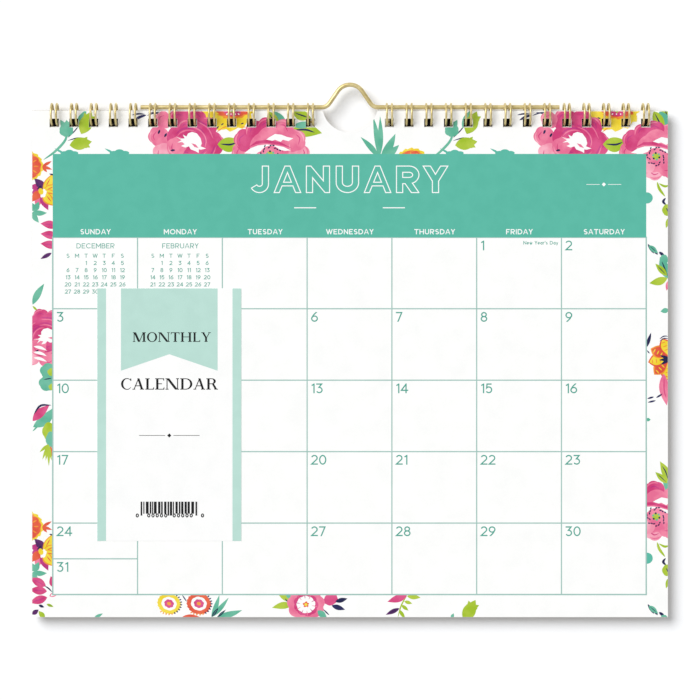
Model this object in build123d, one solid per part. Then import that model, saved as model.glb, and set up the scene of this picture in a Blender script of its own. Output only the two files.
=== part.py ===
from build123d import *
import os
from math import cos, degrees, pi, radians, sin, tan

# A wire-bound wall calendar, hanging as it does on a wall.
# Millimetres. +Z is up, the printed front faces -Y and the wall is on the +Y side.
# The origin is the point under the hanger's arch where the nail bears.

# Leaves and board
page_width = 273.0
page_height = 217.2
leaf_thickness = 0.12
following_leaves = 11            # February to December
board_thickness = 0.6
front_leaf_gap = 0.4             # between the front leaf and those behind it
stack_front_y = -0.7             # front face of the leaves behind the front one

# The leaves and the board stand a little higher, and further left, one behind the other
first_leaf_rise = 0.2
last_leaf_rise = 0.5
board_rise = 0.6
first_leaf_shift = -0.1
last_leaf_shift = -0.3

# Punched holes: standard 3:1 pitch, three holes to the inch
hole_pitch = 25.4 / 3
hole_width = 4.0
hole_height = 3.75
hole_edge_margin = 3.15          # from a leaf's top edge to its holes
hole_positions = 31
skipped_positions = 3            # in the middle, where the half-moon is cut

# Half-moon cut in the middle of the top edge, for the folded hanger
moon_radius = 12.0
moon_centre_rise = 2.85          # its centre stands above the front leaf's edge
moon_allowance = 0.7             # larger radius in the leaves behind and in the board

# Twin-loop wire
wire_diameter = 0.9
loop_radius = 4.5                # to the wire's centre line
loop_twin_spacing = 2.2          # between the two wires of one loop
leaf_edge_above_loop_axis = 1.2
seam_angle = 51.0                # where a loop's tip lies, from its lowest point towards the back
seam_gap = 0.25                  # from a tip to the line of the spine wires
spine_bend_radius = 1.0

# Hanger
rod_diameter = 1.9
rod_length = 180.0
rod_gap = 0.05                   # running clearance under the top of the loops
arch_rise = 9.7                  # of its centre line above the straight rod
arch_half_width = 12.1           # from the middle to where the rod starts to rise
arch_top_radius = 6.35
arch_foot_radius = 4.0
flattest_leg = 20.0              # degrees, the slopes between which the legs' slope is searched for
steepest_leg = 85.0
leg_angle_tolerance = 1e-9

# Cover label
label_width = 61.9
label_height = 108.5
label_thickness = 0.12
label_left_inset = 27.95         # from the front leaf's left edge
label_drop = 76.0                # from the front leaf's top edge

# Levels that follow from the sizes above
rod_radius = rod_diameter / 2
wire_radius = wire_diameter / 2
rod_z = rod_radius - arch_rise
loop_inner_radius = loop_radius - wire_radius
loop_axis_z = rod_z - (loop_inner_radius - rod_radius - rod_gap)
leaf_top_z = loop_axis_z + leaf_edge_above_loop_axis
stack_thickness = following_leaves * leaf_thickness
board_front_y = stack_front_y + stack_thickness
front_leaf_y = stack_front_y - front_leaf_gap - leaf_thickness


def loop_centres():
    """The X of every double loop, from left to right, in two lists."""
    middle = (hole_positions - 1) / 2
    half_skipped = skipped_positions / 2
    offsets = [i - middle for i in range(hole_positions)]
    left = [o * hole_pitch for o in offsets if o < -half_skipped]
    right = [o * hole_pitch for o in offsets if o > half_skipped]
    return left, right


def leaf_outline(extra_moon_radius=0.0):
    """A punched leaf with its half-moon, drawn with its top edge on Y = 0."""
    left, right = loop_centres()
    hole_y = -hole_edge_margin - hole_height / 2
    holes = [Pos(x, hole_y) * Rectangle(hole_width, hole_height) for x in left + right]
    moon = Pos(0, moon_centre_rise) * Circle(moon_radius + extra_moon_radius)
    return Pos(0, -page_height / 2) * Rectangle(page_width, page_height) - holes - moon


def standing(sketch, x, y, z):
    """A sketch stood up to face the front, at a given place."""
    return Plane(origin=(x, y, z), x_dir=(1, 0, 0), z_dir=(0, -1, 0)) * sketch


def make_front_leaf():
    face = standing(leaf_outline(), 0, front_leaf_y, leaf_top_z)
    return extrude(face, amount=leaf_thickness, dir=(0, 1, 0))


def make_following_leaves():
    """The leaves behind as one block, which leans up and to the left towards the back."""
    face = standing(
        leaf_outline(moon_allowance), first_leaf_shift, stack_front_y, leaf_top_z + first_leaf_rise
    )
    lean = Vector(last_leaf_shift - first_leaf_shift, stack_thickness, last_leaf_rise - first_leaf_rise)
    return extrude(face, amount=lean.length, dir=lean.normalized())


def make_board():
    face = standing(leaf_outline(moon_allowance), last_leaf_shift, board_front_y, leaf_top_z + board_rise)
    return extrude(face, amount=board_thickness, dir=(0, 1, 0))


def make_label():
    centre_x = -page_width / 2 + label_left_inset + label_width / 2
    centre_z = leaf_top_z - label_drop - label_height / 2
    face = standing(Rectangle(label_width, label_height), centre_x, front_leaf_y - label_thickness, centre_z)
    return extrude(face, amount=label_thickness, dir=(0, 1, 0))


def on_loop(x, angle):
    """A point on a loop's centre line, by the angle from its lowest point towards the front."""
    a = radians(angle)
    return Vector(x, -loop_radius * sin(a), loop_axis_z - loop_radius * cos(a))


def along_loop(angle):
    """The direction in which a loop runs at an angle, towards the front at its lowest point."""
    a = radians(angle)
    return Vector(0, -cos(a), sin(a))


def quarter_bend(corner_start, along, sideways, radius):
    """An arc that turns from one direction to another at right angles to it, and its end point."""
    half_turn = radians(45)
    end = corner_start + along * radius + sideways * radius
    middle = corner_start + along * (radius * sin(half_turn)) + sideways * (radius * (1 - cos(half_turn)))
    return ThreePointArc(corner_start, middle, end), end


def make_binding(centres):
    """One continuous wire, bent into double loops whose tips close on the spine behind the board."""
    half_twin = loop_twin_spacing / 2
    tip_angle = -seam_angle + degrees(half_twin / loop_radius)
    spine_angle = 360 - seam_angle - degrees((seam_gap + spine_bend_radius) / loop_radius)
    top_angle = (tip_angle + spine_angle) / 2
    to_tip = along_loop(tip_angle) * -1
    to_spine = along_loop(spine_angle)
    right = Vector(1, 0, 0)
    path = []
    for i, x in enumerate(centres):
        left_x = x - half_twin
        right_x = x + half_twin
        tip_left = on_loop(left_x, tip_angle)
        tip_right = on_loop(right_x, tip_angle)
        tip_end = on_loop(x, tip_angle) + to_tip * half_twin
        path.append(ThreePointArc(on_loop(left_x, spine_angle), on_loop(left_x, top_angle), tip_left))
        path.append(ThreePointArc(tip_left, tip_end, tip_right))
        path.append(ThreePointArc(tip_right, on_loop(right_x, top_angle), on_loop(right_x, spine_angle)))
        if i == len(centres) - 1:
            continue
        next_x = centres[i + 1] - half_twin
        bend_down, spine_start = quarter_bend(
            on_loop(right_x, spine_angle), to_spine, right, spine_bend_radius
        )
        bend_up, spine_end = quarter_bend(
            on_loop(next_x, spine_angle), to_spine, right * -1, spine_bend_radius
        )
        path += [bend_down, Line(spine_start, spine_end), bend_up]
    wire = Wire([e for piece in path for e in piece.edges()])
    section = Plane(wire @ 0, z_dir=wire % 0) * Circle(wire_radius)
    return sweep(section, path=wire), wire.length


def leg_angle():
    """The slope of the arch's legs, at which feet, legs and top add up to the rise, found by halving."""
    low = flattest_leg
    high = steepest_leg
    while high - low > leg_angle_tolerance:
        angle = (low + high) / 2
        a = radians(angle)
        bends = arch_foot_radius + arch_top_radius
        leg_run = arch_half_width - bends * sin(a)
        rise = bends * (1 - cos(a)) + leg_run * tan(a)
        if rise < arch_rise:
            low = angle
        else:
            high = angle
    return (low + high) / 2


def make_hanger():
    """A straight rod with an arch in its middle that hooks over the nail."""
    a = radians(leg_angle())
    half = a / 2
    foot_end = (arch_half_width - arch_foot_radius * sin(a), arch_foot_radius * (1 - cos(a)))
    foot_middle = (arch_half_width - arch_foot_radius * sin(half), arch_foot_radius * (1 - cos(half)))
    top_start = (arch_top_radius * sin(a), arch_rise - arch_top_radius * (1 - cos(a)))

    def at(point, side=1):
        return Vector(side * point[0], 0, rod_z + point[1])

    path = [
        Line(at((rod_length / 2, 0), -1), at((arch_half_width, 0), -1)),
        ThreePointArc(at((arch_half_width, 0), -1), at(foot_middle, -1), at(foot_end, -1)),
        Line(at(foot_end, -1), at(top_start, -1)),
        ThreePointArc(at(top_start, -1), at((0, arch_rise)), at(top_start)),
        Line(at(top_start), at(foot_end)),
        ThreePointArc(at(foot_end), at(foot_middle), at((arch_half_width, 0))),
        Line(at((arch_half_width, 0)), at((rod_length / 2, 0))),
    ]
    wire = Wire([e for piece in path for e in piece.edges()])
    section = Plane(wire @ 0, z_dir=wire % 0) * Circle(rod_radius)
    return sweep(section, path=wire), wire.length


left_loops, right_loops = loop_centres()
hanger, hanger_path = make_hanger()
left_binding, left_path = make_binding(left_loops)
right_binding, right_path = make_binding(right_loops)

nodes = {
    "hanger_wire": hanger,
    "left_wire_binding": left_binding,
    "right_wire_binding": right_binding,
    "january_sheet": make_front_leaf(),
    "cover_label": make_label(),
    "following_sheets": make_following_leaves(),
    "backing_board": make_board(),
}

os.makedirs("parts", exist_ok=True)
for name, solid in nodes.items():
    solid.label = name
    export_step(solid, f"parts/{name}.step")
    print(name, "volume", round(solid.volume, 1), "mm3")

for name, length, radius in (
    ("hanger_wire", hanger_path, rod_radius),
    ("left_wire_binding", left_path, wire_radius),
    ("right_wire_binding", right_path, wire_radius),
):
    print(name, "length", round(length, 1), "section times length", round(pi * radius**2 * length, 1))
print("legs of the arch slope", round(leg_angle(), 2), "degrees")
print("loop axis z", round(loop_axis_z, 3), "rod z", round(rod_z, 3))
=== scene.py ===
"""A twin-loop wire-bound wall calendar, dressed around its CAD frame.

The printed front faces -Y and the wall is on the +Y side. Artwork is laid out in
millimetres from a sheet's top left corner, as complex numbers: the real part runs to
the right and the imaginary part runs down. Each colour of ink becomes one thin film.
"""

import logging
import random
from cmath import phase, rect
from dataclasses import dataclass, field, replace
from enum import Enum
from math import cos, degrees, pi, radians, sin
from typing import Iterable, Sequence

import bpy
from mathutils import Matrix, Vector
from mathutils.geometry import delaunay_2d_cdt


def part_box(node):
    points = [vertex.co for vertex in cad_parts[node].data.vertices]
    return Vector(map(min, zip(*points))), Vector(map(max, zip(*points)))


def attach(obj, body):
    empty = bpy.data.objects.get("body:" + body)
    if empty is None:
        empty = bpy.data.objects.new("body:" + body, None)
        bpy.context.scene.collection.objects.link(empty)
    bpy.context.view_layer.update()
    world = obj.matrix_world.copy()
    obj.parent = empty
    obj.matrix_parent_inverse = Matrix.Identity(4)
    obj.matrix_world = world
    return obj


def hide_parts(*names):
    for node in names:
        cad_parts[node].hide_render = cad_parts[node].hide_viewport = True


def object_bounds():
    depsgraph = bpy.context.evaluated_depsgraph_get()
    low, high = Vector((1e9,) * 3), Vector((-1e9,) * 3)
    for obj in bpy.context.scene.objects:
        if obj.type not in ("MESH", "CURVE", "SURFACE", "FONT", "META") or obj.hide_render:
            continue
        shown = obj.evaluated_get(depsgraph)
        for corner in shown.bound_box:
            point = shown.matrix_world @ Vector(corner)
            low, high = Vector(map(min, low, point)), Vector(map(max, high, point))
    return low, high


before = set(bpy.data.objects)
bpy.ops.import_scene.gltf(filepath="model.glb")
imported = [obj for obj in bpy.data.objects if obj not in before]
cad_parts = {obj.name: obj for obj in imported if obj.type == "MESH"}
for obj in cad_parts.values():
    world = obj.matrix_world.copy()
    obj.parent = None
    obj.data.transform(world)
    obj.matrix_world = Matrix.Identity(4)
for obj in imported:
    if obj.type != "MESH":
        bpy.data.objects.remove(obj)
cad_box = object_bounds()

log = logging.getLogger("wall_calendar")

MILLIMETRE = 0.001
Colour = tuple[float, float, float]
Outline = list[complex]


# ---------------------------------------------------------------- inks and finishes


def linear(red: int, green: int, blue: int) -> Colour:
    """A colour given as 0 to 255 on a screen, as the linear values that shaders take."""
    parts = (red / 255, green / 255, blue / 255)
    return tuple(p / 12.92 if p <= 0.04045 else ((p + 0.055) / 1.055) ** 2.4 for p in parts)


class Ink(Enum):
    """The printing inks, and PAPER where a shape is left unprinted."""

    PAPER = "paper"
    TEAL = "teal"
    LINE_TEAL = "line_teal"
    FIGURE_TEAL = "figure_teal"
    LEAF_TEAL = "leaf_teal"
    PINK = "pink"
    ROSE = "rose"
    BLUSH = "blush"
    MAGENTA = "magenta"
    PLUM = "plum"
    CORAL = "coral"
    ORANGE = "orange"
    YELLOW = "yellow"
    LIME = "lime"
    NAVY = "navy"
    MINT = "mint"
    BLACK = "black"


INK_TONES: dict[Ink, tuple[Colour, Colour]] = {
    Ink.TEAL: (linear(88, 180, 160), linear(91, 183, 163)),
    Ink.LINE_TEAL: (linear(153, 190, 181), linear(159, 194, 186)),
    Ink.FIGURE_TEAL: (linear(76, 160, 142), linear(80, 164, 146)),
    Ink.LEAF_TEAL: (linear(90, 174, 146), linear(112, 186, 160)),
    Ink.PINK: (linear(202, 58, 116), linear(218, 88, 138)),
    Ink.ROSE: (linear(226, 108, 146), linear(240, 138, 166)),
    Ink.BLUSH: (linear(236, 142, 168), linear(246, 176, 194)),
    Ink.MAGENTA: (linear(182, 50, 122), linear(200, 76, 140)),
    Ink.PLUM: (linear(78, 36, 92), linear(108, 50, 116)),
    Ink.CORAL: (linear(216, 78, 60), linear(230, 106, 74)),
    Ink.ORANGE: (linear(232, 136, 52), linear(240, 164, 64)),
    Ink.YELLOW: (linear(234, 206, 46), linear(242, 220, 78)),
    Ink.LIME: (linear(158, 188, 44), linear(178, 200, 70)),
    Ink.NAVY: (linear(30, 32, 72), linear(42, 44, 90)),
    Ink.MINT: (linear(182, 217, 207), linear(185, 220, 210)),
    Ink.BLACK: (linear(16, 16, 18), linear(22, 22, 24)),
}


class Signal:
    """A shader socket that adds Math nodes where it is used in an expression."""

    def __init__(self, graph: "ShaderGraph", socket: bpy.types.NodeSocket) -> None:
        """Wraps an output socket of a graph's node."""
        self.graph = graph
        self.socket = socket

    def _maths(self, operation: str, first: "Signal | float", second: "Signal | float") -> "Signal":
        """Adds one Math node and returns its value."""
        return self.graph.add("ShaderNodeMath", {"operation": operation}, {0: first, 1: second})

    def __add__(self, other: "Signal | float") -> "Signal":
        """This value plus another."""
        return self._maths("ADD", self, other)

    def __radd__(self, other: float) -> "Signal":
        """A number plus this value."""
        return self._maths("ADD", other, self)

    def __mul__(self, other: "Signal | float") -> "Signal":
        """This value times another."""
        return self._maths("MULTIPLY", self, other)

    def __rmul__(self, other: float) -> "Signal":
        """A number times this value."""
        return self._maths("MULTIPLY", other, self)


class ShaderGraph:
    """The node graph of one material, with its surface shader in place."""

    def __init__(self, name: str) -> None:
        """Makes an empty material with a Principled shader on its output.

        Args:
            name: the material's name.
        """
        self.material = bpy.data.materials.new(name)
        self.material.use_nodes = True
        self.tree = self.material.node_tree
        self.shader = self.tree.nodes["Principled BSDF"]
        self.place = self.add("ShaderNodeTexCoord", output="Object")

    def add(
        self,
        kind: str,
        settings: dict[str, object] | None = None,
        inputs: dict[str | int, object] | None = None,
        output: str | int = 0,
    ) -> Signal:
        """Adds any node.

        Args:
            kind: the node's type.
            settings: its properties; "stops" gives a ramp's positions and colours.
            inputs: a value or a Signal for each named or numbered input socket.
            output: the output socket that is wanted.

        Returns:
            That output socket, wrapped.
        """
        node = self.tree.nodes.new(kind)
        for name, value in (settings or {}).items():
            if name == "stops":
                self._set_stops(node, value)
            else:
                setattr(node, name, value)
        for key, value in (inputs or {}).items():
            self.feed(node.inputs[key], value)
        return Signal(self, node.outputs[output])

    @staticmethod
    def _set_stops(node: bpy.types.ShaderNode, stops: Sequence[tuple[float, Colour]]) -> None:
        """Gives a colour ramp its stops.

        Args:
            node: the ramp's node.
            stops: the position and the colour of each stop.
        """
        ramp = node.color_ramp
        while len(ramp.elements) < len(stops):
            ramp.elements.new(1.0)
        for element, (position, colour) in zip(ramp.elements, stops):
            element.position = position
            element.color = (*colour, 1.0)

    def feed(self, socket: bpy.types.NodeSocket, value: object) -> None:
        """Sets an input socket to a value, or links a Signal to it.

        Args:
            socket: the input socket.
            value: the value or the Signal.
        """
        if isinstance(value, Signal):
            self.tree.links.new(value.socket, socket)
        else:
            socket.default_value = value

    def surface(self, **inputs: object) -> None:
        """Feeds the surface shader; a name's underscores stand for spaces."""
        for name, value in inputs.items():
            self.feed(self.shader.inputs[name.replace("_", " ")], value)

    def noise(self, size: float, detail: float = 3.0, roughness: float = 0.5) -> Signal:
        """Noise from 0 to 1 whose features are about a given size, in metres."""
        settings = {"Vector": self.place, "Scale": 1 / size, "Detail": detail, "Roughness": roughness}
        return self.add("ShaderNodeTexNoise", inputs=settings)

    def blend(self, mask: Signal, low: Colour, high: Colour, start: float, end: float) -> Signal:
        """Two colours, blended as a mask goes from a low value to a high one."""
        return self.add("ShaderNodeValToRGB", {"stops": ((start, low), (end, high))}, {"Fac": mask})

    def relief(self, height: Signal, depth: float) -> Signal:
        """A normal bent by a height that is so many metres deep."""
        return self.add("ShaderNodeBump", inputs={"Height": height, "Distance": depth})


@dataclass(frozen=True)
class InkFinish:
    """Offset ink on smooth paper: a soft wash between two tones over the paper's grain."""

    ink: Ink
    wash_size: float = 0.006
    grain_size: float = 0.00035
    gloss_size: float = 0.004
    roughness: float = 0.5
    gloss_change: float = 0.12
    sheen: float = 0.15
    depth: float = 0.000012

    def material(self) -> bpy.types.Material:
        """Builds the finish.

        Returns:
            The material.
        """
        graph = ShaderGraph(f"{self.ink.value}_ink")
        low, high = INK_TONES[self.ink]
        wash = graph.noise(self.wash_size, 2.0)
        grain = graph.noise(self.grain_size, 2.0, 0.6)
        mask = wash * 0.85 + grain * 0.15
        graph.surface(
            Base_Color=graph.blend(mask, low, high, 0.4, 0.6),
            Roughness=self.roughness + self.gloss_change * graph.noise(self.gloss_size),
            Specular_IOR_Level=self.sheen,
            Normal=graph.relief(grain, self.depth),
        )
        return graph.material


@dataclass(frozen=True)
class PaperFinish:
    """Bright uncoated paper or card: a slight mottle, fine fibres and a soft tooth."""

    name: str = "leaf_paper"
    shade: Colour = (0.92, 0.925, 0.915)
    light: Colour = (0.955, 0.955, 0.945)
    mottle_size: float = 0.009
    fibre_size: float = 0.0007
    tooth_size: float = 0.00028
    roughness: float = 0.55
    depth: float = 0.000016
    coat: float = 0.0

    def material(self) -> bpy.types.Material:
        """Builds the finish.

        Returns:
            The material.
        """
        graph = ShaderGraph(self.name)
        mottle = graph.noise(self.mottle_size, 3.0)
        fibre = graph.noise(self.fibre_size, 4.0, 0.65)
        tooth = graph.noise(self.tooth_size, 2.0)
        mask = mottle * 0.6 + fibre * 0.4
        graph.surface(
            Base_Color=graph.blend(mask, self.shade, self.light, 0.36, 0.56),
            Roughness=self.roughness + 0.16 * fibre,
            Normal=graph.relief(tooth * 0.6 + fibre * 0.4, self.depth),
            Coat_Weight=self.coat,
        )
        return graph.material


@dataclass(frozen=True)
class GreyboardFinish:
    """Recycled backing board: warm grey pulp with darker and paler flecks."""

    pulp: Colour = linear(168, 158, 142)
    pale_pulp: Colour = linear(188, 178, 162)
    dark_fleck: Colour = linear(112, 102, 90)
    pale_fleck: Colour = linear(214, 208, 196)
    pulp_size: float = 0.006
    fleck_size: float = 0.0011
    tooth_size: float = 0.0005
    roughness: float = 0.86
    depth: float = 0.00005

    def material(self) -> bpy.types.Material:
        """Builds the finish.

        Returns:
            The material.
        """
        graph = ShaderGraph("greyboard")
        pulp = graph.blend(graph.noise(self.pulp_size, 4.0), self.pulp, self.pale_pulp, 0.35, 0.65)
        flecks = graph.noise(self.fleck_size, 1.0)
        steps = ((0.0, (1.0, 1.0, 1.0)), (0.31, (1.0, 1.0, 1.0)), (0.36, (0.0, 0.0, 0.0)))
        dark = graph.add("ShaderNodeValToRGB", {"stops": steps}, {"Fac": flecks})
        pale = graph.blend(flecks, (0.0, 0.0, 0.0), (1.0, 1.0, 1.0), 0.66, 0.7)
        darker = self._mix(graph, dark, pulp, self.dark_fleck)
        tooth = graph.noise(self.tooth_size, 4.0, 0.7)
        graph.surface(
            Base_Color=self._mix(graph, pale, darker, self.pale_fleck),
            Roughness=self.roughness + 0.1 * tooth,
            Normal=graph.relief(tooth, self.depth),
        )
        return graph.material

    @staticmethod
    def _mix(graph: ShaderGraph, mask: Signal, under: Signal, over: Colour) -> Signal:
        """Lays a colour over another where a mask is white."""
        inputs = {"Factor": mask, 6: under, 7: (*over, 1.0)}
        return graph.add("ShaderNodeMix", {"data_type": "RGBA"}, inputs, output=2)


@dataclass(frozen=True)
class GoldWireFinish:
    """Steel wire with a thin gold coating: satin, a little uneven, with fine drawing marks."""

    name: str
    deep: Colour = linear(198, 178, 116)
    bright: Colour = linear(230, 213, 158)
    patch_size: float = 0.003
    mark_size: float = 0.0003
    roughness: float = 0.3
    depth: float = 0.00001
    metallic: float = 0.62

    def material(self) -> bpy.types.Material:
        """Builds the finish.

        Returns:
            The material.
        """
        graph = ShaderGraph(self.name)
        patch = graph.noise(self.patch_size, 3.0)
        marks = graph.noise(self.mark_size, 3.0, 0.6)
        mask = patch * 0.7 + marks * 0.3
        graph.surface(
            Base_Color=graph.blend(mask, self.deep, self.bright, 0.35, 0.65),
            Metallic=self.metallic,
            Roughness=self.roughness + 0.2 * mask,
            Normal=graph.relief(marks, self.depth),
        )
        return graph.material


# ---------------------------------------------------------------- drawing in a plane


def heading(start: complex, end: complex) -> complex:
    """The step of length one from a point towards another."""
    return (end - start) / abs(end - start)


def bow(
    centre: complex, radius_x: float, radius_y: float, start: float, end: float, step: float = 12.0
) -> Outline:
    """Points along part of an ellipse.

    Args:
        centre: the ellipse's centre.
        radius_x: its half width.
        radius_y: its half height.
        start: the angle of the first point, in degrees.
        end: the angle of the last point.
        step: about how many degrees lie between two points.

    Returns:
        The points, from start to end.
    """
    count = max(2, round(abs(end - start) / step))
    angles = [radians(start + (end - start) * i / count) for i in range(count + 1)]
    return [centre + complex(radius_x * cos(a), radius_y * sin(a)) for a in angles]


def blob(
    centre: complex,
    radius: float,
    squash: float = 1.0,
    turn: float = 0.0,
    lobes: int = 0,
    depth: float = 0.0,
    jagged: bool = False,
) -> Outline:
    """A round, scalloped or toothed closed outline.

    Args:
        centre: its centre.
        radius: its largest radius.
        squash: its height as a share of its width, before it is turned.
        turn: how far it is turned, in degrees.
        lobes: how many scallops or teeth run round it.
        depth: how far they cut in, as a share of the radius.
        jagged: whether they are teeth rather than scallops.

    Returns:
        The outline's points.
    """
    count = max(24, lobes * (4 if jagged else 8))
    outline = []
    for i in range(count):
        share = i / count
        wave = (share * lobes) % 1.0
        cut = (1 - wave if jagged else 1 - sin(pi * wave)) if lobes else 0.0
        reach = radius * (1 - depth * cut)
        spot = complex(reach * cos(2 * pi * share), reach * squash * sin(2 * pi * share))
        outline.append(centre + spot * rect(1, radians(turn)))
    return outline


def leaf_shape(
    base: complex, tip: complex, width: float, bend: float = 0.0, belly: float = 0.85
) -> Outline:
    """A pointed leaf or petal.

    Args:
        base: where it starts.
        tip: where it ends.
        width: how wide it is at its widest.
        bend: how far its middle bows to the side.
        belly: under 1, the widest place is nearer to the base.

    Returns:
        The outline's points.
    """
    along = tip - base
    across = heading(base, tip) * 1j
    steps = 12
    shares = [i / steps for i in range(steps + 1)]
    spine = [base + along * t + across * bend * 4 * t * (1 - t) for t in shares]
    halves = [width / 2 * sin(pi * t**belly) for t in shares]
    near = [p + across * h for p, h in zip(spine, halves)]
    far = [p - across * h for p, h in zip(spine, halves)]
    return near + far[-2:0:-1]


def smooth(points: Sequence[complex], steps: int = 5) -> Outline:
    """A smooth line through a few points.

    Args:
        points: the points that it passes through.
        steps: how many short runs replace each run between two points.

    Returns:
        The line's points.
    """
    ends = [2 * points[0] - points[1], *points, 2 * points[-1] - points[-2]]
    line = [points[0]]
    for a, b, c, d in zip(ends, ends[1:], ends[2:], ends[3:]):
        for i in range(1, steps + 1):
            t = i / steps
            square = (2 * a - 5 * b + 4 * c - d) * t**2
            cube = (3 * b - a - 3 * c + d) * t**3
            line.append(0.5 * (2 * b + (c - a) * t + square + cube))
    return line


def hull(points: Sequence[complex]) -> Outline:
    """The convex outline round a few points.

    Args:
        points: the points.

    Returns:
        The outline's corners.
    """
    ordered = sorted(set(points), key=lambda p: (p.real, p.imag))
    rims: list[Outline] = []
    for run in (ordered, ordered[::-1]):
        rim: Outline = []
        for p in run:
            while len(rim) > 1 and ((rim[-1] - rim[-2]).conjugate() * (p - rim[-1])).imag <= 0:
                rim.pop()
            rim.append(p)
        rims.append(rim[:-1])
    return rims[0] + rims[1]


def strip(line: Sequence[complex], halves: Sequence[float]) -> list[Outline]:
    """Four-sided pieces that give a line a width, with mitred corners.

    Args:
        line: the line's points.
        halves: half of the width at each point.

    Returns:
        One outline for each run of the line.
    """
    ways = [heading(a, b) for a, b in zip(line, line[1:])]
    sides = []
    for i, point in enumerate(line):
        before = ways[max(0, i - 1)]
        after = ways[min(i, len(ways) - 1)]
        middle = before + after
        middle = middle / abs(middle) if abs(middle) > 1e-6 else after
        lean = max(0.25, (middle * after.conjugate()).real)
        sides.append((point + middle * 1j * halves[i] / lean, point - middle * 1j * halves[i] / lean))
    return [hull([*a, *b]) for a, b in zip(sides, sides[1:])]


def kept_between(outline: Outline, low: float, high: float) -> Outline:
    """The part of a convex outline whose imaginary part lies between two values.

    Args:
        outline: the outline.
        low: the least imaginary part that is kept.
        high: the greatest.

    Returns:
        The outline that is left, empty where nothing is.
    """
    for limit, sign in ((low, 1), (high, -1)):
        kept: Outline = []
        for a, b in zip(outline, outline[1:] + outline[:1]):
            a_in = (a.imag - limit) * sign >= 0
            b_in = (b.imag - limit) * sign >= 0
            if a_in:
                kept.append(a)
            if a_in != b_in:
                kept.append(a + (b - a) * (limit - a.imag) / (b.imag - a.imag))
        outline = kept
        if not outline:
            return []
    return outline


def box_outline(left: float, top: float, right: float, bottom: float) -> Outline:
    """The four corners of an upright rectangle."""
    return [complex(left, top), complex(right, top), complex(right, bottom), complex(left, bottom)]


@dataclass
class Artwork:
    """Shapes of ink in the order in which they are laid down: a later one covers an earlier one."""

    shapes: list[tuple[Ink, Outline]] = field(default_factory=list)
    corner: complex = 0j

    def moved(self, step: complex) -> "Artwork":
        """The same artwork, for laying down shapes a step further on."""
        return replace(self, corner=self.corner + step)

    def fill(self, ink: Ink, *outlines: Outline) -> None:
        """Lays down closed outlines in one ink."""
        self.shapes += [(ink, [self.corner + p for p in drawn]) for drawn in outlines if len(drawn) > 2]

    def line(self, ink: Ink, points: Sequence[complex], width: float) -> None:
        """Lays down a line of even width."""
        self.fill(ink, *strip(points, [width / 2] * len(points)))

    def dab(self, ink: Ink, points: Sequence[complex], width: float) -> None:
        """Lays down a brush stroke through a few points, thick in its middle and thin at its ends.

        Args:
            ink: its ink.
            points: what it passes through.
            width: its greatest width.
        """
        line = smooth(points)
        last = len(line) - 1
        halves = [width / 2 * (0.12 + 0.88 * sin(pi * i / last) ** 0.7) for i in range(last + 1)]
        self.fill(ink, *strip(line, halves))

    def frame(self, ink: Ink, left: float, top: float, right: float, bottom: float, width: float) -> None:
        """Lays down the four sides of a rectangle, centred on its edges.

        Args:
            ink: their ink.
            left: the rectangle's left edge.
            top: its top edge.
            right: its right edge.
            bottom: its bottom edge.
            width: the lines' width.
        """
        half = width / 2
        for y in (top, bottom):
            self.fill(ink, box_outline(left - half, y - half, right + half, y + half))
        for x in (left, right):
            self.fill(ink, box_outline(x - half, top, x + half, bottom))


# ---------------------------------------------------------------- lettering


@dataclass(frozen=True)
class Glyph:
    """A letter: its width and the middles of its strokes, in cap heights, up from the baseline."""

    width: float
    lines: Sequence[Sequence[complex]]
    light_lines: Sequence[Sequence[complex]] = ()
    share: float = 1.0
    light_share: float = 0.64


def ring(centre: complex, radius_x: float, radius_y: float) -> list[Outline]:
    """A closed oval line as its left and right halves."""
    return [bow(centre, radius_x, radius_y, 90, 270), bow(centre, radius_x, radius_y, -90, 90)]


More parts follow.
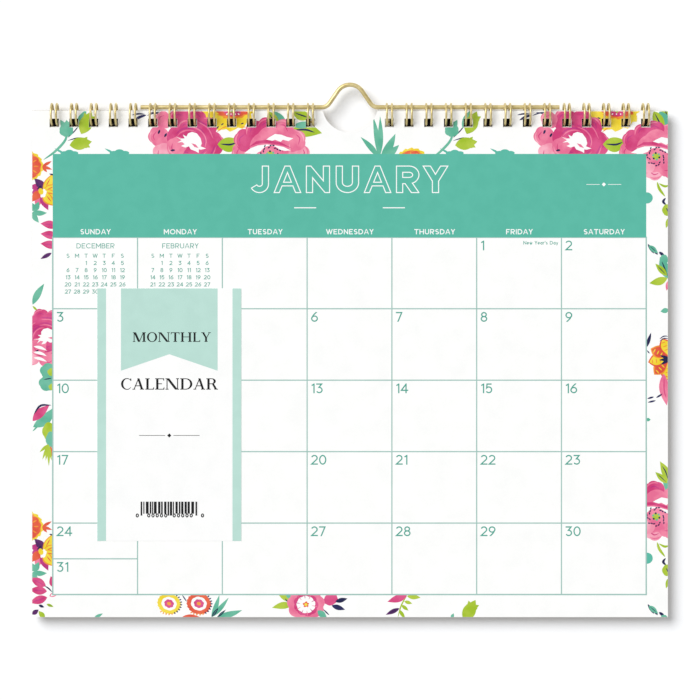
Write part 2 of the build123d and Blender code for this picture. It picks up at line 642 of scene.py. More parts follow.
PLAIN_GLYPHS: dict[str, Glyph] = {
    "A": Glyph(
        0.77, [[-0.12 - 0.32j, 0.385 + 1.15j, 0.89 - 0.32j]], [[0.1 + 0.266j, 0.67 + 0.266j]], 0.8
    ),
    "B": Glyph(0.62, [
        [0, 1j],
        [1j, 0.34 + 1j, *bow(0.34 + 0.76j, 0.24, 0.24, 90, -90)[1:], 0.52j],
        [0.52j, 0.36 + 0.52j, *bow(0.36 + 0.26j, 0.26, 0.26, 90, -90)[1:], 0],
    ]),
    "C": Glyph(0.84, [bow(0.48 + 0.5j, 0.48, 0.5, 44, 316)]),
    "D": Glyph(0.76, [[0, 1j], [1j, 0.3 + 1j, *bow(0.3 + 0.5j, 0.46, 0.5, 90, -90)[1:], 0]]),
    "E": Glyph(0.58, [[0, 1j], [1j, 0.58 + 1j], [0.5j, 0.53 + 0.5j], [0, 0.58]]),
    "F": Glyph(0.56, [[0, 1j], [1j, 0.56 + 1j], [0.46j, 0.5 + 0.46j]]),
    "H": Glyph(0.72, [[0, 1j], [0.72, 0.72 + 1j], [0.5j, 0.72 + 0.5j]]),
    "I": Glyph(0.0, [[0, 1j]]),
    "J": Glyph(0.48, [[0.48 + 1j, 0.48 + 0.27j, *bow(0.23 + 0.27j, 0.25, 0.27, 0, -158)[1:]]]),
    "M": Glyph(0.86, [[0, 1j, 0.43 + 0.32j, 0.86 + 1j, 0.86]]),
    "N": Glyph(0.71, [[0, 1j, 0.71, 0.71 + 1j]]),
    "O": Glyph(0.94, ring(0.47 + 0.5j, 0.47, 0.5)),
    "R": Glyph(0.68, [
        [0, 1j],
        [1j, 0.4 + 1j, *bow(0.4 + 0.72j, 0.28, 0.28, 90, -90)[1:], 0.44j],
        [0.3 + 0.44j, 0.56],
    ]),
    "S": Glyph(0.58, [
        bow(0.29 + 0.745j, 0.26, 0.255, 35, 270) + bow(0.29 + 0.245j, 0.29, 0.245, 90, -145)[1:],
    ]),
    "T": Glyph(0.68, [[1j, 0.68 + 1j], [0.34, 0.34 + 1j]]),
    "U": Glyph(0.68, [[1j, 0.34j, *bow(0.34 + 0.34j, 0.34, 0.34, 180, 360)[1:], 0.68 + 1j]]),
    "W": Glyph(1.12, [[1j, 0.29, 0.56 + 1j, 0.83, 1.12 + 1j]]),
    "Y": Glyph(0.57, [[1j, 0.285 + 0.45j, 0.57 + 1j], [0.285 + 0.45j, 0.285]]),
    "0": Glyph(0.62, ring(0.31 + 0.5j, 0.31, 0.5)),
    "1": Glyph(0.24, [[0.82j, 0.24 + 1j, 0.24]]),
    "2": Glyph(0.56, [[*bow(0.28 + 0.71j, 0.28, 0.29, 160, -38), 0, 0.58]]),
    "3": Glyph(0.56, [[0.02 + 1j, 0.52 + 1j, 0.24 + 0.61j, *bow(0.27 + 0.305j, 0.29, 0.305, 88, -150)]]),
    "4": Glyph(0.64, [[0.48, 0.48 + 1j, 0.27j, 0.64 + 0.27j]]),
    "5": Glyph(0.56, [
        [0.5 + 1j, 0.09 + 1j, 0.05 + 0.54j, *bow(0.27 + 0.33j, 0.29, 0.33, 138, -148)[1:]],
    ]),
    "6": Glyph(0.58, [*ring(0.29 + 0.3j, 0.29, 0.3), smooth([0.44 + 1j, 0.19 + 0.72j, 0.02 + 0.38j])]),
    "7": Glyph(0.54, [[1j, 0.54 + 1j, 0.17]]),
    "8": Glyph(0.56, [*ring(0.28 + 0.765j, 0.235, 0.235), *ring(0.28 + 0.27j, 0.28, 0.27)]),
    "9": Glyph(0.58, [*ring(0.29 + 0.7j, 0.29, 0.3), smooth([0.14, 0.39 + 0.28j, 0.56 + 0.62j])]),
    "a": Glyph(0.46, [*ring(0.23 + 0.33j, 0.23, 0.33), [0.46 + 0.66j, 0.46]]),
    "e": Glyph(0.48, [[0.34j, 0.48 + 0.34j, *bow(0.24 + 0.33j, 0.24, 0.33, 0, 305)[1:]]]),
    "r": Glyph(0.26, [[0.66j, 0], bow(0.26 + 0.4j, 0.26, 0.26, 180, 90)]),
    "s": Glyph(0.36, [
        bow(0.18 + 0.5j, 0.16, 0.16, 35, 270) + bow(0.18 + 0.17j, 0.18, 0.17, 90, -145)[1:],
    ]),
    "w": Glyph(0.74, [[0.66j, 0.2, 0.37 + 0.66j, 0.54, 0.74 + 0.66j]]),
    "y": Glyph(0.48, [[0.66j, 0.24], [0.48 + 0.66j, 0.14 - 0.24j]]),
    "'": Glyph(0.0, [[0.78j, 1j]]),
    " ": Glyph(0.2, []),
}


class Align(Enum):
    """Which part of a word stands at its given place, as a share of its width."""

    LEFT = 0.0
    CENTRE = 0.5
    RIGHT = 1.0


@dataclass(frozen=True)
class PlainLettering:
    """Upright letters and figures drawn with strokes of one weight.

    Sizes are in millimetres; the weight and the gap between letters are shares of the cap height.
    """

    cap_height: float
    weight: float
    gap: float

    @property
    def spread(self) -> float:
        """How wide the middles of the strokes are set: narrower in a heavier letter."""
        return 1.1 - 0.88 * self.weight

    def width(self, words: str) -> float:
        """How wide some words are, in millimetres."""
        letters = [PLAIN_GLYPHS[c].width * self.spread + self.weight for c in words]
        return (sum(letters) + self.gap * (len(words) - 1)) * self.cap_height

    def write(
        self, art: Artwork, ink: Ink, words: str, place: complex, align: Align = Align.LEFT
    ) -> None:
        """Sets words in one ink, with their start, middle or end at a place on the baseline."""
        self._set(art, ink, words, place, align, 0.0)

    def write_hollow(
        self, art: Artwork, ink: Ink, ground: Ink, words: str, place: complex, line_width: float
    ) -> None:
        """Sets centred words as outlines: letters in one ink, then thinner ones in the ground's."""
        self._set(art, ink, words, place, Align.CENTRE, 0.0)
        self._set(art, ground, words, place, Align.CENTRE, line_width / self.cap_height)

    def _set(
        self, art: Artwork, ink: Ink, words: str, place: complex, align: Align, inset: float
    ) -> None:
        """Sets words whose strokes are thinned on every side.

        Args:
            art: what they are laid down on.
            ink: their ink.
            words: what they say.
            place: a point on their baseline.
            align: which part of them stands at that point.
            inset: how much a stroke is thinned on each side, in cap heights.
        """
        pen = place.real - align.value * self.width(words)
        for letter in words:
            glyph = PLAIN_GLYPHS[letter]
            floor = -1.0 if letter.islower() else inset
            for lines, share in ((glyph.lines, glyph.share), (glyph.light_lines, glyph.light_share)):
                for piece in [q for line in lines for q in self._stroke(line, glyph.width, inset, share)]:
                    kept = kept_between(piece, floor, 1 - inset)
                    size = self.cap_height
                    art.fill(ink, [complex(pen, place.imag) + p.conjugate() * size for p in kept])
            pen += (glyph.width * self.spread + self.weight + self.gap) * self.cap_height

    def _stroke(
        self, line: Sequence[complex], width: float, inset: float, share: float
    ) -> list[Outline]:
        """Gives a stroke its weight and fits its middle between the baseline and the cap height.

        Args:
            line: the stroke's middle.
            width: the letter's width.
            inset: how much the stroke is thinned on each side.
            share: its weight as a share of the lettering's.

        Returns:
            The pieces of the stroke, in cap heights.
        """
        half = self.weight / 2
        height = 1 - self.weight
        points = [complex(p) for p in line]
        fitted = [complex(half + p.real * self.spread, half + p.imag * height) for p in points]
        first = self._overrun(points[0], points[1], width) * self.weight - inset
        last = self._overrun(points[-1], points[-2], width) * self.weight - inset
        fitted[0] += heading(fitted[1], fitted[0]) * first
        fitted[-1] += heading(fitted[-2], fitted[-1]) * last
        return strip(fitted, [half * share - inset] * len(fitted))

    @staticmethod
    def _overrun(end: complex, before: complex, width: float) -> float:
        """How far a stroke runs past its end: none inside a letter, most on a slanted foot.

        Args:
            end: the stroke's end.
            before: the point before it.
            width: the letter's width.

        Returns:
            The distance, in weights.
        """
        way = end - before
        on_line = not 0.0 < end.imag < 1.0
        on_side = end.real in (0.0, width)
        slanted = min(abs(way.real), abs(way.imag)) > 0.05
        if slanted:
            return 0.9 if on_line else 0.0
        return 0.5 if on_line or on_side else 0.0


@dataclass(frozen=True)
class SerifLettering:
    """Letters with thick stems, hairlines and flat serifs, as a list of shapes for each letter.

    The cap height is in millimetres, and everything else is a share of it.
    """

    cap_height: float
    gap: float
    thick: float = 0.17
    hair: float = 0.072
    foot: float = 0.08
    spread: float = 1.17
    beak_reach: float = 0.2
    beak_tip: float = 0.035
    beak_root: float = 0.1

    def stem(self, x: float, thick: float | None = None) -> list[Outline]:
        """An upright with a serif at each end.

        Args:
            x: its left side.
            thick: its width, where it isn't the usual one.

        Returns:
            Its shapes.
        """
        width = self.thick if thick is None else thick
        bars = [self.bar(x - self.foot, x + width + self.foot, y) for y in (0.0, 1.0 - self.hair)]
        return [self.slope(x, x, width), *bars]

    def bar(self, left: float, right: float, y: float) -> Outline:
        """A level hairline."""
        return box_outline(left, y, right, y + self.hair)

    @staticmethod
    def slope(foot: float, head: float, width: float, low: float = 0.0, high: float = 1.0) -> Outline:
        """A slanted stroke with level ends, from a foot's left side to a head's."""
        base = [complex(foot, low), complex(foot + width, low)]
        return [*base, complex(head + width, high), complex(head, high)]

    def side(self, centre: complex, radius: float, height: float, start: float, end: float) -> Outline:
        """Part of a bowl, thick at its side and thin at its top and bottom.

        Args:
            centre: the bowl's centre.
            radius: its half width.
            height: its half height.
            start: the angle where it starts, in degrees.
            end: the angle where it ends.

        Returns:
            Its outline.
        """
        outer = bow(centre, radius, height, start, end)
        inner = bow(centre, radius - self.thick, height - self.hair, start, end)
        return outer + inner[::-1]

    def beak(self, x: float, y: float, way: int) -> Outline:
        """A small upright wedge at a hairline's end, up or down."""
        tip = y + way * self.beak_reach
        side = [complex(x, y), complex(x, tip)]
        return [*side, complex(x - self.beak_tip, tip), complex(x - self.beak_root, y)]

    def letter(self, name: str) -> list[Outline]:
        """One letter.

        Args:
            name: which letter.

        Returns:
            Its shapes, in cap heights.
        """
        thick, hair = self.thick, self.hair
        middle = 0.48
        if name == "M":
            shapes = [*self.stem(0, hair), self.slope(0.38, 0.0, thick * 1.2), self.slope(0.47, 0.83, hair)]
            return [*shapes, *self.stem(0.84)]
        if name == "N":
            return [*self.stem(0, hair), self.slope(0.64, -0.02, thick * 1.3), *self.stem(0.8, hair)]
        if name == "O":
            centre = 0.46 + 0.5j
            return [self.side(centre, 0.46, 0.52, 90, 270), self.side(centre, 0.46, 0.52, -90, 90)]
        if name == "C":
            left = self.side(0.46 + 0.5j, 0.46, 0.52, 90, 270)
            turns = [bow(0.46 + 0.5j, 0.36, y, s, e) + bow(0.46 + 0.5j, 0.34, y - hair, e, s)
                     for y, s, e in ((0.52, 90, 35), (0.52, -35, -90))]
            return [left, *turns, self.beak(0.78, 0.98, -1)]
        if name == "D":
            return [*self.stem(0), self.side(0.34 + 0.5j, 0.5, 0.5, -90, 90), *self._rails(0.1, 0.34)]
        if name == "T":
            beaks = [self.beak(0.78, 0.97, -1), [0.97j, 0.1 + 0.97j, 0.035 + 0.77j, 0.77j]]
            return [*self.stem(0.315), self.bar(0, 0.78, 1 - hair), *beaks]
        if name == "H":
            return [*self.stem(0), *self.stem(0.67), self.bar(0.1, 0.7, middle)]
        if name == "L":
            return [*self.stem(0), self.bar(0.1, 0.58, 0), self.beak(0.58, 0.02, 1)]
        if name == "E":
            bars = [self.bar(0.1, 0.62, 0), self.bar(0.1, 0.44, middle), self.bar(0.1, 0.6, 1 - hair)]
            return [*self.stem(0), *bars, self.beak(0.62, 0.02, 1), self.beak(0.6, 0.98, -1)]
        if name == "A":
            legs = [self.slope(0.05, 0.4, hair), self.slope(0.62, 0.33, thick), self.bar(0.16, 0.66, 0.3)]
            return [*legs, self.bar(-0.03, 0.18, 0), self.bar(0.54, 0.86, 0)]
        if name == "R":
            bowl = self.side(0.34 + 0.74j, 0.3, 0.26, -90, 90)
            leg = self.slope(0.58, 0.34, thick, 0.0, 0.5)
            return [*self.stem(0), bowl, leg, *self._rails(0.1, 0.36, 0.48), self.bar(0.52, 0.8, 0)]
        arms = [self.slope(0.33, 0.05, thick, 0.42), self.slope(0.42, 0.7, hair, 0.42)]
        heads = [self.bar(-0.02, 0.27, 1 - hair), self.bar(0.6, 0.84, 1 - hair), self.bar(0.27, 0.56, 0)]
        return [self.slope(0.33, 0.33, thick, 0.0, 0.46), *arms, *heads]

    def _rails(self, left: float, right: float, low: float = 0.0) -> list[Outline]:
        """The hairlines that join a bowl to its stem, above and below."""
        return [self.bar(left, right, low), self.bar(left, right, 1 - self.hair)]

    def write(self, art: Artwork, ink: Ink, words: str, place: complex) -> None:
        """Sets a word centred on a point of its baseline.

        Args:
            art: what it is laid down on.
            ink: its ink.
            words: what it says.
            place: the middle of its baseline.
        """
        size = self.cap_height
        letters = [self.letter(c) for c in words]
        lefts = [min(complex(p).real for shape in letter for p in shape) for letter in letters]
        rights = [max(complex(p).real for shape in letter for p in shape) for letter in letters]
        widths = [(right - left) * self.spread for left, right in zip(lefts, rights)]
        pen = place.real - (sum(widths) + self.gap * (len(words) - 1)) * size / 2
        for letter, left, width in zip(letters, lefts, widths):
            for shape in letter:
                art.fill(ink, [
                    complex(pen + (p.real - left) * size * self.spread, place.imag - p.imag * size)
                    for p in map(complex, shape)
                ])
            pen += (width + self.gap) * size


# ---------------------------------------------------------------- flowers


@dataclass
class FloralBorder:
    """Loosely painted flowers and leaves that run round the edges of a printed sheet."""

    art: Artwork
    width: float
    height: float
    repeat_across: float = 165.5
    repeat_down: float = 154.7

    def moved(self, step: complex) -> "FloralBorder":
        """The same border, for painting a group a step further on."""
        return replace(self, art=self.art.moved(step))

    def leaf(
        self,
        ink: Ink,
        base: complex,
        tip: complex,
        width: float,
        vein: Ink | None = None,
        bend: float = 0.0,
    ) -> None:
        """A leaf or narrow petal, with a brushed vein where one is asked for.

        Args:
            ink: its ink.
            base: where it starts.
            tip: where it ends.
            width: its greatest width.
            vein: its vein's ink.
            bend: how far it bows to the side.
        """
        self.art.fill(ink, leaf_shape(base, tip, width, bend))
        if vein is not None:
            along = tip - base
            across = heading(base, tip) * 1j * bend
            middle = [base + along * 0.12, base + along * 0.5 + across, base + along * 0.78]
            self.art.dab(vein, middle, width * 0.13)

    def toothed_leaf(self, ink: Ink, base: complex, tip: complex, width: float) -> None:
        """A leaf whose sides are cut into teeth.

        Args:
            ink: its ink.
            base: where it starts.
            tip: where it ends.
            width: its greatest width.
        """
        self.leaf(ink, base, tip, width)
        along = tip - base
        across = heading(base, tip) * 1j
        for share, side in ((0.3, 1), (0.44, 1), (0.58, 1), (0.36, -1), (0.54, -1)):
            root = base + along * share
            self.leaf(ink, root, root + along * 0.3 + across * side * width * 0.44, width * 0.34)

    def spray(self, ink: Ink, root: complex, tips: Iterable[complex], width: float) -> None:
        """Narrow leaves of one ink and width that spread from a root to their tips."""
        for tip in tips:
            self.leaf(ink, root, tip, width, bend=width * 0.15)

    def lobes(
        self, centre: complex, radius: float, turn: float, lobes: Iterable[tuple[Ink, complex, float]]
    ) -> None:
        """Loose petals one over another, each with a lighter rim and a darker fold.

        Args:
            centre: the flower's middle.
            radius: the flower's radius.
            turn: how far the flower is turned, in degrees.
            lobes: each petal's ink, its place and its radius, in shares of the flower's radius.
        """
        for ink, place, share in lobes:
            spot = centre + radius * place * rect(1, radians(turn))
            size = radius * share
            out = degrees(phase(place)) + turn
            self.art.fill(ink, blob(spot, size, 0.92, out + 60 * share, 5, 0.1))
            rim = [spot + rect(size * 0.8, radians(out + a)) for a in (-62, -30, 0, 26)]
            fold = [spot + rect(size * 0.5, radians(out + a)) for a in (-48, 0, 62)]
            self.art.dab(Ink.ROSE if ink in (Ink.PINK, Ink.BLUSH) else Ink.BLUSH, rim, size * 0.13)
            self.art.dab(Ink.MAGENTA if ink is Ink.PINK else Ink.PINK, fold, size * 0.1)

    def patch(self, ink: Ink, centre: complex, radius: float, turn: float, outline: Outline) -> None:
        """A patch of a flower that is turned, drawn in shares of the flower's radius."""
        self.art.fill(ink, [centre + radius * p * rect(1, radians(turn)) for p in outline])

    def flecks(self, ends: Iterable[tuple[complex, complex]], width: float) -> None:
        """Short straight navy dabs of one width, each given by its two ends."""
        for start, end in ends:
            self.art.dab(Ink.NAVY, [start, end], width)

    def rose(self, centre: complex, radius: float, turn: float) -> None:
        """A full rose: loose petals round a deep middle, with a ragged white curl for its heart.

        Args:
            centre: its middle.
            radius: its radius.
            turn: how far it is turned, in degrees.
        """
        self.lobes(centre, radius, turn, (
            (Ink.PINK, -0.32 - 0.64j, 0.42), (Ink.ROSE, -0.84 - 0.66j, 0.3), (Ink.PINK, 0.2 - 0.68j, 0.36),
            (Ink.ROSE, -1.0 - 0.12j, 0.36), (Ink.BLUSH, -0.86 + 0.42j, 0.36), (Ink.ROSE, -0.3 + 0.74j, 0.4),
            (Ink.PINK, 0.4 + 0.7j, 0.4), (Ink.PINK, 0.52 - 0.42j, 0.38), (Ink.PINK, 0.76 + 0.1j, 0.42),
            (Ink.PINK, -0.05 + 0.05j, 0.74), (Ink.ROSE, -0.42 + 0.2j, 0.34), (Ink.PINK, -0.1 - 0.36j, 0.34),
        ))
        for spot, way in ((-1.02 - 0.2j, 68), (-0.82 - 0.1j, 58), (-0.62 + 0.34j, 8)):
            start = centre + radius * spot * rect(1, radians(turn))
            self.art.dab(Ink.NAVY, [start, start + rect(radius * 0.15, radians(turn - way))], radius * 0.07)
        folds = ((0.56, -80, 20), (0.66, 30, 110), (0.44, -150, -60), (0.8, -70, -10), (0.9, 10, 60))
        for share, start, end in folds:
            reach = radius * share
            fold = bow(centre - 0.05 * radius, reach, reach * 0.9, turn + start, turn + end, 24)
            self.art.dab(Ink.MAGENTA, fold, radius * 0.06)
            self.art.dab(Ink.ROSE, [p + radius * (0.03 + 0.07j) for p in fold], radius * 0.045)
        self.patch(Ink.PAPER, centre, radius, turn, [
            -0.46 - 0.13j, -0.3 - 0.05j, -0.16 - 0.06j, -0.22 - 0.18j, -0.1 - 0.12j, -0.05 - 0.22j,
            0.08 - 0.27j, 0.24 - 0.22j, 0.36 - 0.06j, 0.4 + 0.1j, 0.36 + 0.2j, 0.54 + 0.27j,
            0.38 + 0.31j, 0.3 + 0.3j, 0.3 + 0.42j, 0.2 + 0.36j, 0.04 + 0.3j, -0.02 + 0.2j,
            -0.14 + 0.24j, -0.28 + 0.19j, -0.16 + 0.13j, -0.24 + 0.06j, -0.4 + 0.08j, -0.26 + 0j,
        ])
        self.patch(Ink.ROSE, centre, radius, turn, [0.06 + 0.1j, 0.2 + 0.14j, 0.3 + 0.26j, 0.16 + 0.22j])

    def peony(self, centre: complex, radius: float, turn: float) -> None:
        """A wide open flower, with white folds above a dark seeded heart.

        Args:
            centre: its middle.
            radius: its radius.
            turn: how far it is turned, in degrees.
        """
        self.lobes(centre, radius, turn, (
            (Ink.BLUSH, -0.5 + 0.42j, 0.38), (Ink.ROSE, 0.5 + 0.42j, 0.38), (Ink.BLUSH, 0.52j, 0.36),
            (Ink.ROSE, -0.78 + 0.1j, 0.32), (Ink.BLUSH, 0.78 + 0.1j, 0.32), (Ink.ROSE, 0.64 - 0.24j, 0.36),
            (Ink.PINK, -0.7 - 0.24j, 0.34), (Ink.ROSE, 0.3 - 0.5j, 0.36), (Ink.PINK, -0.4 - 0.46j, 0.34),
            (Ink.PINK, -0.1 - 0.56j, 0.34), (Ink.ROSE, 0.02 + 0.02j, 0.66), (Ink.BLUSH, -0.3 + 0.42j, 0.34),
            (Ink.ROSE, 0.34 + 0.4j, 0.34),
        ))
        self.patch(Ink.PAPER, centre, radius, turn, [
            -0.2 - 0.2j, -0.05 - 0.32j, 0.12 - 0.42j, 0.3 - 0.4j, 0.45 - 0.34j, 0.63 - 0.3j, 0.5 - 0.22j,
            0.34 - 0.26j, 0.28 - 0.2j, 0.12 - 0.26j, -0.02 - 0.2j,
        ])
        self.patch(Ink.PAPER, centre, radius, turn, [
            -0.74 + 0.12j, -0.56 - 0.02j, -0.36 - 0.1j, -0.1 - 0.13j, 0.14 - 0.1j, 0.36 - 0.06j,
            0.56 + 0.04j, 0.4 + 0.05j, 0.2 + 0.01j, -0.02 + 0j, -0.2 + 0.03j, -0.36 + 0.1j,
            -0.46 + 0.2j, -0.6 + 0.24j, -0.56 + 0.13j,
        ])
        self.patch(Ink.PINK, centre, radius, turn, [
            -0.66 - 0.02j, -0.4 - 0.22j, -0.1 - 0.26j, 0.3 - 0.18j,
            0.6 - 0.02j, 0.3 - 0.11j, -0.1 - 0.17j, -0.4 - 0.14j,
        ])
        self.seeds(centre + radius * 0.16j, radius * 0.27)

    def seeds(self, centre: complex, radius: float) -> None:
        """A seeded heart: pink, ringed with navy dabs, and lime and teal in the middle.

        Args:
            centre: its middle.
            radius: how far out the seeds stand.
        """
        self.art.fill(Ink.ROSE, blob(centre, radius * 1.1, 0.85))
        for i in range(22):
            angle = i * 16.4
            seed = centre + rect(radius * (0.74 + 0.13 * (i % 3)), radians(angle))
            end = seed + rect(radius * 0.28, radians(angle + 62 + 24 * (i % 2)))
            self.art.dab(Ink.NAVY, [seed, end], radius * 0.15)
        self.art.fill(Ink.LIME, blob(centre, radius * 0.6, 0.8, 10, 9, 0.4, jagged=True))
        for i in range(6):
            spot = centre + rect(radius * 0.36, radians(i * 60 + 20))
            self.art.fill(Ink.LEAF_TEAL if i % 2 else Ink.NAVY, blob(spot, radius * 0.11))

    def rays(
        self, ink: Ink, centre: complex, ways: Iterable[float], inner: float, outer: float, width: float
    ) -> None:
        """Dabs of one width that point away from a centre, from one distance to another."""
        for way in ways:
            self.art.dab(ink, [centre + rect(reach, radians(way)) for reach in (inner, outer)], width)

    def ruffled_bloom(self, centre: complex, radius: float, turn: float) -> None:
        """A toothed yellow flower with a coral body.

        Args:
            centre: its middle.
            radius: its radius.
            turn: how far it is turned, in degrees.
        """
        self.art.fill(Ink.YELLOW, blob(centre, radius, 0.92, turn, 17, 0.1, jagged=True))
        self.art.fill(Ink.ORANGE, blob(centre, radius * 0.88, 0.9, turn, 13, 0.08, jagged=True))
        self.art.fill(Ink.CORAL, blob(centre, radius * 0.83, 0.88, turn + 9, 11, 0.09))
        folds = [turn + i * 360 / 11 for i in range(11)]
        self.rays(Ink.ORANGE, centre, folds, radius * 0.4, radius * 0.68, radius * 0.07)
        strokes = [turn + 180 + i * 24 for i in range(7)]
        self.rays(Ink.NAVY, centre, strokes, radius * 0.26, radius * 0.4, radius * 0.06)

    def sunny_bloom(self, centre: complex, radius: float) -> None:
        """A wide ragged yellow flower that hangs from the edge, with coral round a pink heart.

        Args:
            centre: its middle.
            radius: its radius.
        """
        self.art.fill(Ink.YELLOW, blob(centre, radius, 0.74, 8, 13, 0.15, jagged=True))
        heart = centre + radius * (0.22 + 0.04j)
        self.art.fill(Ink.ORANGE, blob(heart, radius * 0.6, 0.46, 0, 11, 0.18, jagged=True))
        self.art.fill(Ink.CORAL, blob(heart, radius * 0.55, 0.34, 0, 9, 0.16))
        self.art.fill(Ink.PINK, blob(heart, radius * 0.3, 0.56, 0, 7, 0.12))
        for x in (-0.16, -0.04, 0.08, 0.18):
            ends = [heart + radius * (x + 0.06j), heart + radius * (x * 1.3 + 0.11j)]
            self.art.dab(Ink.PAPER, ends, radius * 0.045)
        self.art.dab(Ink.LIME, [heart - radius * 0.08, heart + radius * (0.02 + 0.02j)], radius * 0.05)
        ticks = (
            (-0.66 + 0.36j, 30), (-0.3 + 0.62j, -60), (-0.16 + 0.5j, -40),
            (0.5 + 0.46j, -20), (-0.46 + 0.24j, 20),
        )
        for place, way in ticks:
            spot = centre + radius * place
            self.art.dab(Ink.NAVY, [spot, spot + rect(radius * 0.11, radians(way))], radius * 0.045)
            end = spot + rect(radius * 0.2, radians(way + 50))
            self.art.dab(Ink.ORANGE, [spot + radius * 0.1j, end], radius * 0.04)

    def striped_bloom(self, centre: complex, radius: float) -> None:
        """A yellow and coral flower that opens sideways round a navy heart.

        Args:
            centre: its heart.
            radius: how long its petals are.
        """
        inks = ((Ink.CORAL, Ink.YELLOW, Ink.ORANGE), (Ink.ORANGE, Ink.CORAL, Ink.YELLOW))
        for i, angle in enumerate((100, 136, 172, 208, 248, 290)):
            edge, middle, stripe = inks[i % 2]
            tip = centre + rect(radius, radians(angle))
            inner_tip = centre + (tip - centre) * 0.94
            bend = radius * 0.05
            self.art.fill(edge, leaf_shape(centre, tip, radius * 0.58, bend, 1.5))
            self.art.fill(middle, leaf_shape(centre, inner_tip, radius * 0.46, bend, 1.5))
            for share in (0.45, 0.62, 0.8):
                spot = centre + (tip - centre) * share
                across = (tip - centre) / radius * 1j
                self.art.dab(stripe, [spot - across, spot + across], radius * 0.05)
        for angle in (150, 175, 200):
            self.leaf(Ink.NAVY, centre, centre + rect(radius * 0.5, radians(angle)), radius * 0.14)

    def round_flower(self, ink: Ink, centre: complex, radius: float, turn: float) -> None:
        """A small toothed flower with a white ring and a pink heart.

        Args:
            ink: its body's ink.
            centre: its middle.
            radius: its radius.
            turn: how far it is turned, in degrees.
        """
        self.art.fill(ink, blob(centre, radius, 0.86, turn, 19, 0.1, jagged=True))
        self.art.fill(Ink.PAPER, blob(centre, radius * 0.62, 0.86, turn, 8, 0.05))
        self.art.fill(Ink.PINK, blob(centre, radius * 0.4, 0.86, turn, 7, 0.12))
        self.art.fill(Ink.ORANGE, blob(centre, radius * 0.16, 0.8, turn))
        for i in range(14):
            way = rect(radius, radians(turn - 70 + i * 14))
            tick = [centre + complex(way.real * r, way.imag * 0.88 * r) for r in (0.86, 1.06)]
            self.art.dab(Ink.NAVY if i < 9 else Ink.ORANGE, tick, radius * 0.11)

    def open_flower(self, centre: complex, radius: float) -> None:
        """A flat pink flower with a white heart and a small star in it.

        Args:
            centre: its middle.
            radius: its radius.
        """
        self.art.fill(Ink.ROSE, blob(centre, radius, 0.92, 8, 9, 0.09))
        self.art.fill(Ink.PINK, blob(centre, radius * 0.66, 0.92, 20, 9, 0.08))
        self.art.fill(Ink.PAPER, blob(centre, radius * 0.5, 0.92, 5, 9, 0.06))
        for i in range(10):
            ink = Ink.MAGENTA if i % 2 else Ink.ROSE
            self.rays(ink, centre, [i * 36 + 10], radius * 0.3, radius * 0.62, 0.3)
        self.art.fill(Ink.CORAL, blob(centre, radius * 0.2, 0.9, 0, 5, 0.45, jagged=True))
        self.art.fill(Ink.YELLOW, blob(centre, radius * 0.08))

    def jewel_cluster(self, centre: complex, size: float) -> None:
        """A tangle of magenta, plum and yellow petals with coral edges.

        Args:
            centre: its middle.
            size: how long its petals are.
        """
        petals = (
            (200, 0.75, Ink.MAGENTA), (235, 0.8, Ink.PLUM), (170, 0.62, Ink.MAGENTA),
            (110, 0.95, Ink.ROSE), (75, 1.0, Ink.MAGENTA), (138, 0.8, Ink.CORAL),
        )
        for angle, reach, ink in petals:
            tip = centre + rect(size * reach, radians(angle))
            self.leaf(ink, centre, tip, size * 0.42, bend=size * 0.08)
        for angle, reach in ((-62, 1.05), (-25, 0.8), (15, 0.78), (52, 0.95)):
            tip = centre + rect(size * reach, radians(angle))
            self.leaf(Ink.ORANGE, centre, tip, size * 0.5, bend=size * 0.06)
            self.leaf(Ink.YELLOW, centre, centre + (tip - centre) * 0.93, size * 0.38, bend=size * 0.05)
            fold = [centre + (tip - centre) * 0.3, centre + (tip - centre) * 0.7]
            self.art.dab(Ink.CORAL, fold, size * 0.05)
        self.art.fill(Ink.PAPER, blob(centre + size * 0.1j, size * 0.16, 1.5, 20, 5, 0.2))
        self.art.fill(Ink.YELLOW, blob(centre - size * 0.12, size * 0.12, 1.4, -20))
        self.art.dab(Ink.NAVY, [centre - size * (0.1 + 0.3j), centre - size * (0.32 + 0.1j)], size * 0.09)
        self.art.dab(Ink.NAVY, [centre + size * (0.3 - 0.9j), centre + size * (0.62 - 0.82j)], size * 0.08)

    def budded_sprig(self) -> None:
        """A curved stem with a teal bud, a teal leaf and two lime ones, from the stem's foot."""
        self.art.dab(Ink.LEAF_TEAL, [0j, 5 - 3.6j, 9.4 - 8.6j, 9.8 - 13j], 1.1)
        self.art.dab(Ink.NAVY, [10.4 - 9.4j, 13.4 - 12.4j, 16.4 - 16.2j], 0.5)
        self.art.dab(Ink.NAVY, [10.4 - 8.2j, 13 - 9j, 15 - 9.6j], 0.45)
        self.art.fill(Ink.LEAF_TEAL, blob(9.8 - 12.6j, 3.1, 0.92, 0, 6, 0.08))
        for lean in (-2.6, 0.2, 2.4):
            self.leaf(Ink.LEAF_TEAL, 9.8 - 12.6j, 9.8 + lean - 17.2j, 2.4)
        self.leaf(Ink.LEAF_TEAL, 14.4 - 13.6j, 18.4 - 21.6j, 3.4)
        self.toothed_leaf(Ink.LIME, 16.2 - 11j, 20.6 - 20.8j, 5.8)
        self.toothed_leaf(Ink.LIME, 11.2 - 6.2j, 20.8 - 7.8j, 5.4)

    def pencilled_twigs(self) -> None:
        """A few dark twigs."""
        twigs = (
            (0.4 + 1.2j, 6 + 0.8j, 0.7), (1.4 + 3.4j, 6.6 + 1.2j, 1.2),
            (7 + 1.4j, 12.4, 0.6), (8.4, 13.6 + 1.6j, 0.5),
        )
        for start, end, width in twigs:
            self.art.dab(Ink.NAVY, [start, (start + end) / 2 - 0.3j, end], width)

